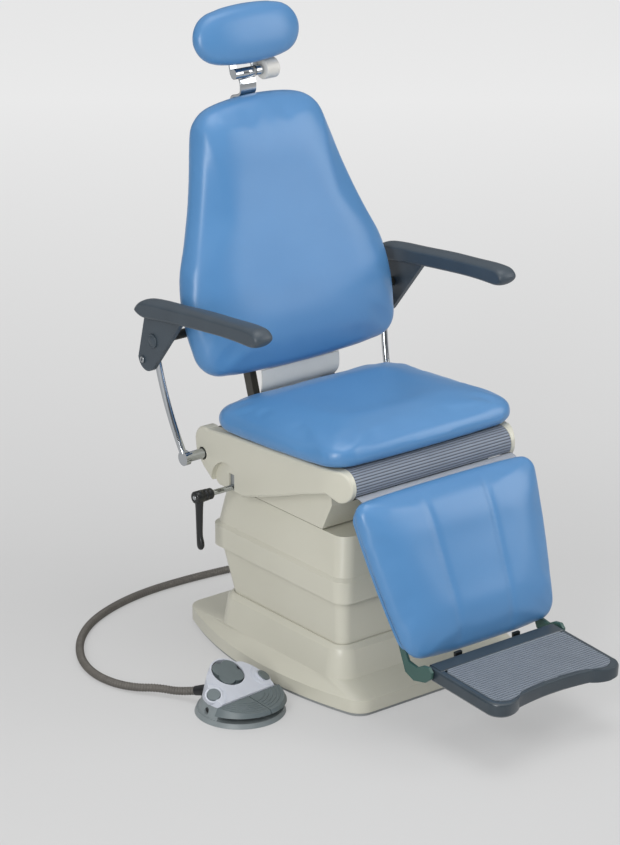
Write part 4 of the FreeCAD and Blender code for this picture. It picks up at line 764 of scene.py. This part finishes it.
screw_profile = [(42, 5.4), (44.4, 5.4), (45.2, 4.6), (45.2, 2.6), (43.6, 2.2), (43.6, 0.5)]
screw = turned("clamp_lever_screw", HUB_START, (-1, 0, 0), screw_profile, 24)
finished(screw, steel, "lock_lever")
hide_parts("lock_handle")
print("lever", len(lever.data.polygons) + len(hub.data.polygons), "faces")

# %% [markdown]
# ## The headrest strap
# The headrest stands on a flat steel strap, chrome plated, that comes up behind the cushion, bends forward
# over its top in a soft S and is rolled into a knuckle round the hinge pin. A press bends such a strap
# without corners, so its middle line is a NURBS curve, and a flat section with rounded edges is carried
# along points that are read from it. The knuckle is turned, with a small step at each end.

# %% Headrest strap
FLAT = [(-1, -0.5), (-0.985, -1), (0.985, -1), (1, -0.5), (1, 0.5), (0.985, 1), (-0.985, 1), (-1, 0.5)]


def strip(name, route, widths, half_thickness):
    """A bent flat strip on the back: a route of (behind, up) and half widths along it, all in mm."""
    read = along_nurbs(name + "_line", [(0, behind * MM, up * MM) for behind, up in route], 8)
    rings = []
    for number, centre in enumerate(read):
        way = (read[min(number + 1, len(read) - 1)] - read[max(number - 1, 0)]).normalized()
        normal = Vector((0, -way.z, way.y)) * half_thickness * MM
        share = number / (len(read) - 1) * (len(widths) - 1)
        half = np.interp(share, range(len(widths)), widths) * MM
        rings.append([BACK @ (centre + Vector((wide * half, 0, 0)) + normal * thick)
                      for wide, thick in FLAT])
    made = skin_over(name, rings)
    made.modifiers.new("flat_faces", "WEIGHTED_NORMAL")
    return made


strap_route = [(57, 300), (57, 430), (57, 556), (51, 571), (17, 568), (9.5, 588), (9.5, 599), (12.6, 606),
               (12.6, 614)]
strap = strip("headrest_strap", strap_route, (20, 20), 2.9)
finished(strap, chrome, "post")
knuckle_profile = [(-18, 7), (-18, 9.6), (-17, 11), (17, 11), (18, 9.6), (18, 7)]
knuckle = turned("headrest_knuckle", HEAD.translation, (1, 0, 0), knuckle_profile)
finished(knuckle, chrome, "post")
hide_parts("headrest_post")
print("strap", len(strap.data.polygons), "faces")

# %% [markdown]
# ### The lumbar plate
# Below the back a curved plate closes the gap to the seat. It is the same kind of bent strip, but wide and
# moulded, with its lower corners rounded off. Its paler cream is painted light.

# %% Lumbar plate
plate_route = [(9, -4), (12, -24), (22, -44), (40, -54), (52, -56)]
plate = strip("lumbar_plate", plate_route, (104, 104, 104, 103, 100, 94, 84), 1.7)
finished(plate, lumbar_cream_painted_lighter, "backrest")
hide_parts("lumbar_cover")
print("plate", len(plate.data.polygons), "faces")

# %% [markdown]
# ## The knee apron
# A ribbed rubber apron goes round the knee between the round noses of the side covers, and below its ribs a
# smooth skirt hangs down behind the top of the leg pad and hides the frame. It turns with the leg rest, so
# it stays inside the circle that the seat frame leaves free. Both are extruded, so each is drawn as its
# side view and run across the chair. Rings close to the ends keep the shading of the long faces straight.

# %% Apron and skirt
END_RING = 0.5 * MM


def metres(line):
    """A line of points in mm, in metres."""
    return [(behind * MM, up * MM) for behind, up in line]


def extruded(name, outline, half_length, frame=LEG, middle=0):
    """A piece of a side view in a frame, the leg rest's if no other is given, run across the chair."""
    stations = (-half_length, END_RING - half_length, half_length - END_RING, half_length)
    return skin_over(name, [[frame @ Vector((middle + x, behind, up)) for behind, up in outline]
                            for x in stations])


APRON_HALF_LENGTH, APRON_INNER = 205.8 * MM, 31.6 * MM
APRON_START, APRON_END, APRON_RIBS = 92, 236, 13
POINTS_PER_RIB, INNER_STEPS = 8, 32
outline = []
for step in range(APRON_RIBS * POINTS_PER_RIB + 1):
    turn = math.radians(APRON_START + (APRON_END - APRON_START) * step / (APRON_RIBS * POINTS_PER_RIB))
    swell = abs(math.sin(math.pi * step / POINTS_PER_RIB)) ** 0.45
    radius = GROOVE_RADIUS + (RIB_RADIUS - GROOVE_RADIUS) * swell
    outline.append((radius * math.cos(turn), radius * math.sin(turn)))
for step in range(INNER_STEPS + 1):
    turn = math.radians(APRON_END + (APRON_START - APRON_END) * step / INNER_STEPS)
    outline.append((APRON_INNER * math.cos(turn), APRON_INNER * math.sin(turn)))
apron = extruded("ribbed_apron", outline, APRON_HALF_LENGTH)
finished(apron, rubbers["rubber_ribbed_apron"], "legrest")
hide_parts("knee_roll")
# Distance behind and height above the knee axis in mm
skirt_line = [(-20, -28), (-25, -29.5), (-30, -32), (-35, -35.5), (-39, -41), (-41, -49)]
skirt_line += [(behind + 2, up - 1) for behind, up in reversed(skirt_line)]
skirt = extruded("apron_skirt", metres(skirt_line), APRON_HALF_LENGTH)
finished(skirt, rubbers["rubber_moulded_skirt"], "legrest")
print("apron", APRON_RIBS, "ribs,", round(2 * APRON_HALF_LENGTH * 1000), "mm wide")

# %% [markdown]
# ## Caps and screws of the armrests
# Each armrest hangs on a shaft end under a round cap, with a screw below it. The solids have plain discs
# there; turned rings on top of them give the cap its rim, its groove and its domed middle.

# %% Armrest caps
ARM_OUTER, ARM_PIVOT, LOWER_SCREW = 0.328, (0.284987, 0.689228), (0.321, 0.639)
cap_profile = [(-1, 15.4), (2.4, 15.4), (3.6, 14.4), (3.6, 12.4), (2.6, 11.8), (2.6, 11), (3.8, 10),
               (4.6, 6), (4.8, 1)]
head_profile = [(-1, 7), (2.8, 7), (3.8, 6), (3.8, 3.4), (2.2, 3), (2.2, 0.6)]
for side, way in SIDES:
    cap = turned("armrest_cap_" + side, (way * ARM_OUTER, *ARM_PIVOT), (way, 0, 0), cap_profile)
    finished(cap, slate, "armrest_" + side)
    head = turned("armrest_screw_" + side, (way * ARM_OUTER, *LOWER_SCREW), (way, 0, 0), head_profile, 24)
    finished(head, steel, "armrest_" + side)
print("caps and screws on both armrests")

# %% [markdown]
# ## The ribbed foot mat
# The mat on the foot tray has fine ribs across it that keep shoes from slipping. The solid mat is copied,
# cut by planes every rib and every groove, and the rib strips of its top are raised. The ribs thus follow
# the mat's curved front edge exactly. The mat ends short of the tray's rear, where a rail stiffens the tray
# along its hinge, and two lugs hang down from the leg board behind the rail.

# %% Foot mat
FOOTREST = leaning(-0.427615, 0.14695, 4)
RIB, GROOVE, RIB_HEIGHT, MAT_EDGE = 4 * MM, 3.2 * MM, 1.5 * MM, 2 * MM
RAIL_DEPTH = 27 * MM
work = welded("footrest_mat", WELD_GAP)
work.transform(FOOTREST.inverted())
front = min(point.co.y for point in work.verts)
rear = max(point.co.y for point in work.verts)
for point in work.verts:
    point.co.y = front + (point.co.y - front) * (1 - RAIL_DEPTH / (rear - front))
rear -= RAIL_DEPTH
cuts = [front + MAT_EDGE]
while cuts[-1] < rear - MAT_EDGE:
    cuts += [cuts[-1] + RIB, cuts[-1] + RIB + GROOVE]
for cut in cuts:
    cut_across(work, cut)
work.normal_update()
tops = []
for face in work.faces:
    face.material_index = 1
    middle = face.calc_center_median().y
    if face.normal.z > 0.9 and any(low < middle < low + RIB for low in cuts[::2]):
        tops.append(face)
raised = bmesh.ops.extrude_face_region(work, geom=tops)["geom"]
for thing in raised:
    if isinstance(thing, bmesh.types.BMFace):
        thing.material_index = 0
bmesh.ops.translate(work, verts=[thing for thing in raised if isinstance(thing, bmesh.types.BMVert)],
                    vec=(0, 0, RIB_HEIGHT))
bmesh.ops.delete(work, geom=tops, context="FACES")
work.transform(FOOTREST)
mat = placed("ribbed_foot_mat", written("ribbed_foot_mat", work))
finished(mat, rubbers["rubber_extruded_grey"], "footrest")
# The faces between the ribs take the second material, a darker grey painted as groove shade.
mat.data.materials.append(rubbers["rubber_groove_painted_shade"])
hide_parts("footrest_mat")
print("mat", len(cuts) // 2, "ribs,", len(mat.data.polygons), "faces")

# %% Tray rail and lugs
RAIL_HALF_LENGTH, LUG_HALF_WIDTH, LUG_SPOT = 164 * MM, 9 * MM, 78 * MM
# Distance behind and height above the tray's hinge in mm
rail_line = [(-27, 6), (-27, 11.5), (-25, 13.5), (5, 13.5), (9.5, 12), (10.5, 6)]
rail = extruded("tray_rail", metres(rail_line), RAIL_HALF_LENGTH, FOOTREST)
soften(rail, 1.5, 3)
finished(rail, tray_plastic, "footrest")
lug_line = [(17.6, -4), (24, -4), (26, 12), (19.5, 12)]
for side, way in SIDES:
    lug = extruded("tray_lug_" + side, metres(lug_line), LUG_HALF_WIDTH, FOOTREST, way * LUG_SPOT)
    soften(lug, 1)
    finished(lug, nylon, "legrest")
print("rail", round(2 * RAIL_HALF_LENGTH * 1000), "mm long, two lugs")

# %% [markdown]
# ## The foot control
# The foot control's cover has thin raised lines beside its buttons, and each pedal has curved ribs for
# grip. They are beads laid on the solids: points of each line are dropped from above until they meet the
# surface.

# %% Foot control details
FOOT = Matrix.Translation((-0.385, -0.082, 0)) @ Matrix.Rotation(math.radians(5), 4, "Z")
ABOVE = 0.2
PEDAL_RIB_RADII, ARC_STEPS = (50, 58, 66, 74, 82), 40


def dropped(node, spots):
    """Points of the foot control, in its own mm, dropped onto a solid from above."""
    found = [touch(node, FOOT @ Vector((x * MM, y * MM, ABOVE)), (0, 0, -1)) for x, y in spots]
    return [spot for spot in found if spot is not None]


for side, start, end in (("left", 184, 266), ("right", 274, 356)):
    turns = [math.radians(start + (end - start) * step / ARC_STEPS) for step in range(ARC_STEPS + 1)]
    arcs = [dropped("foot_pedal_" + side,
                    [(radius * math.cos(turn), radius * math.sin(turn)) for turn in turns])
            for radius in PEDAL_RIB_RADII]
    lines = [arc for arc in arcs if len(arc) > 4]
    ribs = bead("pedal_ribs_" + side, lines, 1)
    finished(ribs, dark_abs, "pedal_" + side)
    print(ribs.name, len(lines), "ribs")

# %% Foot cover lines
BUTTON_X, BUTTON_Y = 69, 4
LINE_RADII = (25, 27.5)
turns = [math.radians(5 * step) for step in range(-16, 17)]
lines = [dropped("foot_cover", [(way * (BUTTON_X - radius * math.cos(turn)),
                                 BUTTON_Y + radius * math.sin(turn)) for turn in turns])
         for way in (-1, 1) for radius in LINE_RADII]
finished(bead("foot_cover_lines", lines, 0.8), pale_abs, "base")
print("cover lines", [len(line) for line in lines])

# %% Foot control plug
PLUG_SPOT, PLUG_OUTSIDE = Vector((-94, 14, 20)), Vector((-60, 9, 9))
plug_way = FOOT.to_3x3() @ Vector((-1, 0.15, 0)).normalized()
wall = touch("foot_base", FOOT @ ((PLUG_SPOT + PLUG_OUTSIDE) * MM), -plug_way)
start = FOOT @ (PLUG_SPOT * MM)
start += plug_way * ((wall - start).dot(plug_way) - 1 * MM)
plug_profile = [(-5, 6.6), (1.4, 6.6), (2.2, 5.8), (2.2, 4), (0.8, 3.4), (0.8, 0.5)]
plug = turned("foot_control_plug", start, plug_way, plug_profile, 24)
finished(plug, nylon, "base")
print("plug at", [round(part, 3) for part in start])

# %% [markdown]
# ## The side covers
# Seen from above, the side covers bend inwards towards the knee, so that only a thin rim of the round nose
# shows beside the apron. The solids are straight there. A copy of each is cut by upright planes, which
# gives it points to bend at, and these are moved inwards more and more towards the nose.

# %% Side covers
TAPER_START, NOSE_TIP, TAPER, TAPER_CUTS = -0.150, -0.237, 19 * MM, 8
COVER_INNER, COVER_OUTER = 0.2065, 0.236
for side in ("left", "right"):
    work = welded("side_cover_" + side, WELD_GAP)
    for step in range(TAPER_CUTS):
        cut_across(work, TAPER_START + (NOSE_TIP - TAPER_START) * step / TAPER_CUTS)
    for point in work.verts:
        share = min(1, max(0, (TAPER_START - point.co.y) / (TAPER_START - NOSE_TIP)))
        outer = COVER_OUTER - TAPER * share ** 2
        depth = (abs(point.co.x) - COVER_INNER) / (COVER_OUTER - COVER_INNER)
        point.co.x = math.copysign(COVER_INNER + depth * (outer - COVER_INNER), point.co.x)
    cover = mesh_piece("tapered_cover_" + side, written("tapered_cover_" + side, work))
    soften(cover, 1.4, 3)
    finished(cover, cream, "carriage")
    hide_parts("side_cover_" + side)
    print(cover.name, len(cover.data.polygons), "faces")

# %% [markdown]
# ## Stay plates of the leg rest
# Below the leg pad a flat plate on each side carries the foot tray on its hinge pin. It is cut from sheet
# with rounded corners and painted as the frame is; drawn as its side view, it is pulled through the
# thickness of the plate.

# %% Stay plates
STAY_INNER, STAY_OUTER = 173.4 * MM, 181 * MM
# Distance behind and height above the knee axis in mm
stay_outline = [(-4, -320), (-4, -394), (-24, -414), (-60, -421), (-82, -415), (-89, -403), (-84, -391),
                (-66, -386), (-45, -388), (-22, -373), (-18, -320)]
for side, way in SIDES:
    rings = [[LEG @ Vector((way * x, behind, up)) for behind, up in metres(stay_outline)]
             for x in (STAY_INNER, STAY_OUTER)]
    stay = skin_over("stay_plate_" + side, rings)
    soften(stay, 1.5, 2)
    finished(stay, coats["dark_green"], "legrest")
print("two stay plates")

# %% [markdown]
# ## Screws of the back shell
# The shell behind the back is held by screws in pairs. Their places are shot from behind, so that each head
# sits on the shell, turned with a rim and a hollow for the driver.

# %% Shell screws
BEHIND = 0.3
# Distance from the middle and height on the back in mm
shell_spots = [(130, 190), (112, 330), (92, 450)]
shell_head = [(-1, 6.4), (1.2, 6.4), (2.2, 5.4), (2.2, 3), (0.8, 2.6), (0.8, 0.5)]
backward = BACK.to_3x3() @ Vector((0, 1, 0))
for row, (aside, up) in enumerate(shell_spots):
    for side, way in SIDES:
        spot = touch("back_shell", BACK @ Vector((way * aside * MM, BEHIND, up * MM)), -backward)
        head = turned("shell_screw_" + side + "_" + str(row + 1), spot, backward, shell_head, 24)
        finished(head, steel, "backrest")
print("six shell screws")

# %% [markdown]
# ## Floor and light
# The picture was lit as products are: a tall soft light from the left that draws a long highlight down each
# roll, a weaker one from the right, one above, and pale surroundings. The floor is plain paper, painted
# lighter towards the rear as painted light. Rays from the camera, and those that metal mirrors, see part of
# its colour as written and part of it lit, so that it stays pale and still shows the shadow.

# %% Floor
FLOOR_AWAY, FLOOR_NEAR, FLOOR_FAR = (0.62, 0.785, 0), 0.5, 4.5
FLOOR_GLOW, REACH = 0.55, 60
floor_paint, tree, place = blank("studio_paper_matt_white")
away = add(tree, "VectorMath", {0: place, 1: FLOOR_AWAY}, operation="DOT_PRODUCT").outputs["Value"]
# Painted light: the floor's colour goes from grey near the chair to white towards the rear.
painted_brightening = add(tree, "MapRange", {"Value": away, "From Min": FLOOR_NEAR, "From Max": FLOOR_FAR})
paper_with_painted_light = between(tree, painted_brightening.outputs["Result"], "#d0d0d0", "#ffffff")
lit = add(tree, "BsdfPrincipled", {"Base Color": paper_with_painted_light, "Roughness": 0.7, "IOR": 1.45})
glow = add(tree, "Emission", {"Color": paper_with_painted_light, "Strength": 1})
rays = add(tree, "LightPath").outputs
mirrored = add(tree, "Math", {0: rays["Is Glossy Ray"], 1: rays["Is Transmission Ray"]}, operation="MAXIMUM")
seen = add(tree, "Math", {0: rays["Is Camera Ray"], 1: mirrored.outputs[0]}, operation="MAXIMUM")
part_glow = add(tree, "Math", {0: seen.outputs[0], 1: FLOOR_GLOW}, operation="MULTIPLY")
mixed = add(tree, "MixShader", {0: part_glow.outputs[0], 1: lit.outputs["BSDF"],
                                2: glow.outputs["Emission"]})
add(tree, "OutputMaterial", {"Surface": mixed.outputs["Shader"]})
sheet = bpy.data.meshes.new("studio_floor")
corners = [(-REACH, -REACH, 0), (REACH, -REACH, 0), (REACH, REACH, 0), (-REACH, REACH, 0)]
sheet.from_pydata(corners, [], [(0, 1, 2, 3)])
sheet.materials.append(floor_paint)
floor = placed("studio_floor", sheet)
print("floor", 2 * REACH, "m wide")

# %% Lamps
CHAIR_MIDDLE = Vector((0, 0, 0.65))


def soft_lamp(name, spot, wide, high, watts):
    """An area lamp that faces the chair."""
    lamp = bpy.data.lights.new(name, "AREA")
    lamp.shape = "RECTANGLE"
    lamp.size = wide
    lamp.size_y = high
    lamp.energy = watts
    thing = placed(name, lamp)
    thing.location = spot
    thing.rotation_euler = (CHAIR_MIDDLE - Vector(spot)).to_track_quat("-Z", "Y").to_euler()


soft_lamp("key_left", (-3.6, -2.2, 2.1), 1.1, 2.6, 105)
soft_lamp("fill_right", (2.9, -2.6, 2.3), 1.8, 2.4, 52)
soft_lamp("top", (0.2, -0.4, 4.4), 2.6, 2.6, 60)
print("three lamps")

# %% Surroundings
WALL_TOP, CEILING_START, SKY_STRENGTH = 0.12, 0.6, 0.55
world = bpy.data.worlds.new("pale_studio")
world.use_nodes = True
tree = world.node_tree
tree.nodes.clear()
upward = add(tree, "SeparateXYZ", {"Vector": add(tree, "TexCoord").outputs["Generated"]}).outputs["Z"]
ceiling = add(tree, "MapRange", {"Value": upward, "From Min": WALL_TOP, "From Max": CEILING_START})
tone = between(tree, ceiling.outputs["Result"], "#85898d", "#ffffff")
sky = add(tree, "Background", {"Color": tone, "Strength": SKY_STRENGTH})
add(tree, "OutputWorld", {"Surface": sky.outputs["Background"]})
scene.world = world
scene.view_settings.view_transform = "Standard"
print("walls and a bright ceiling")
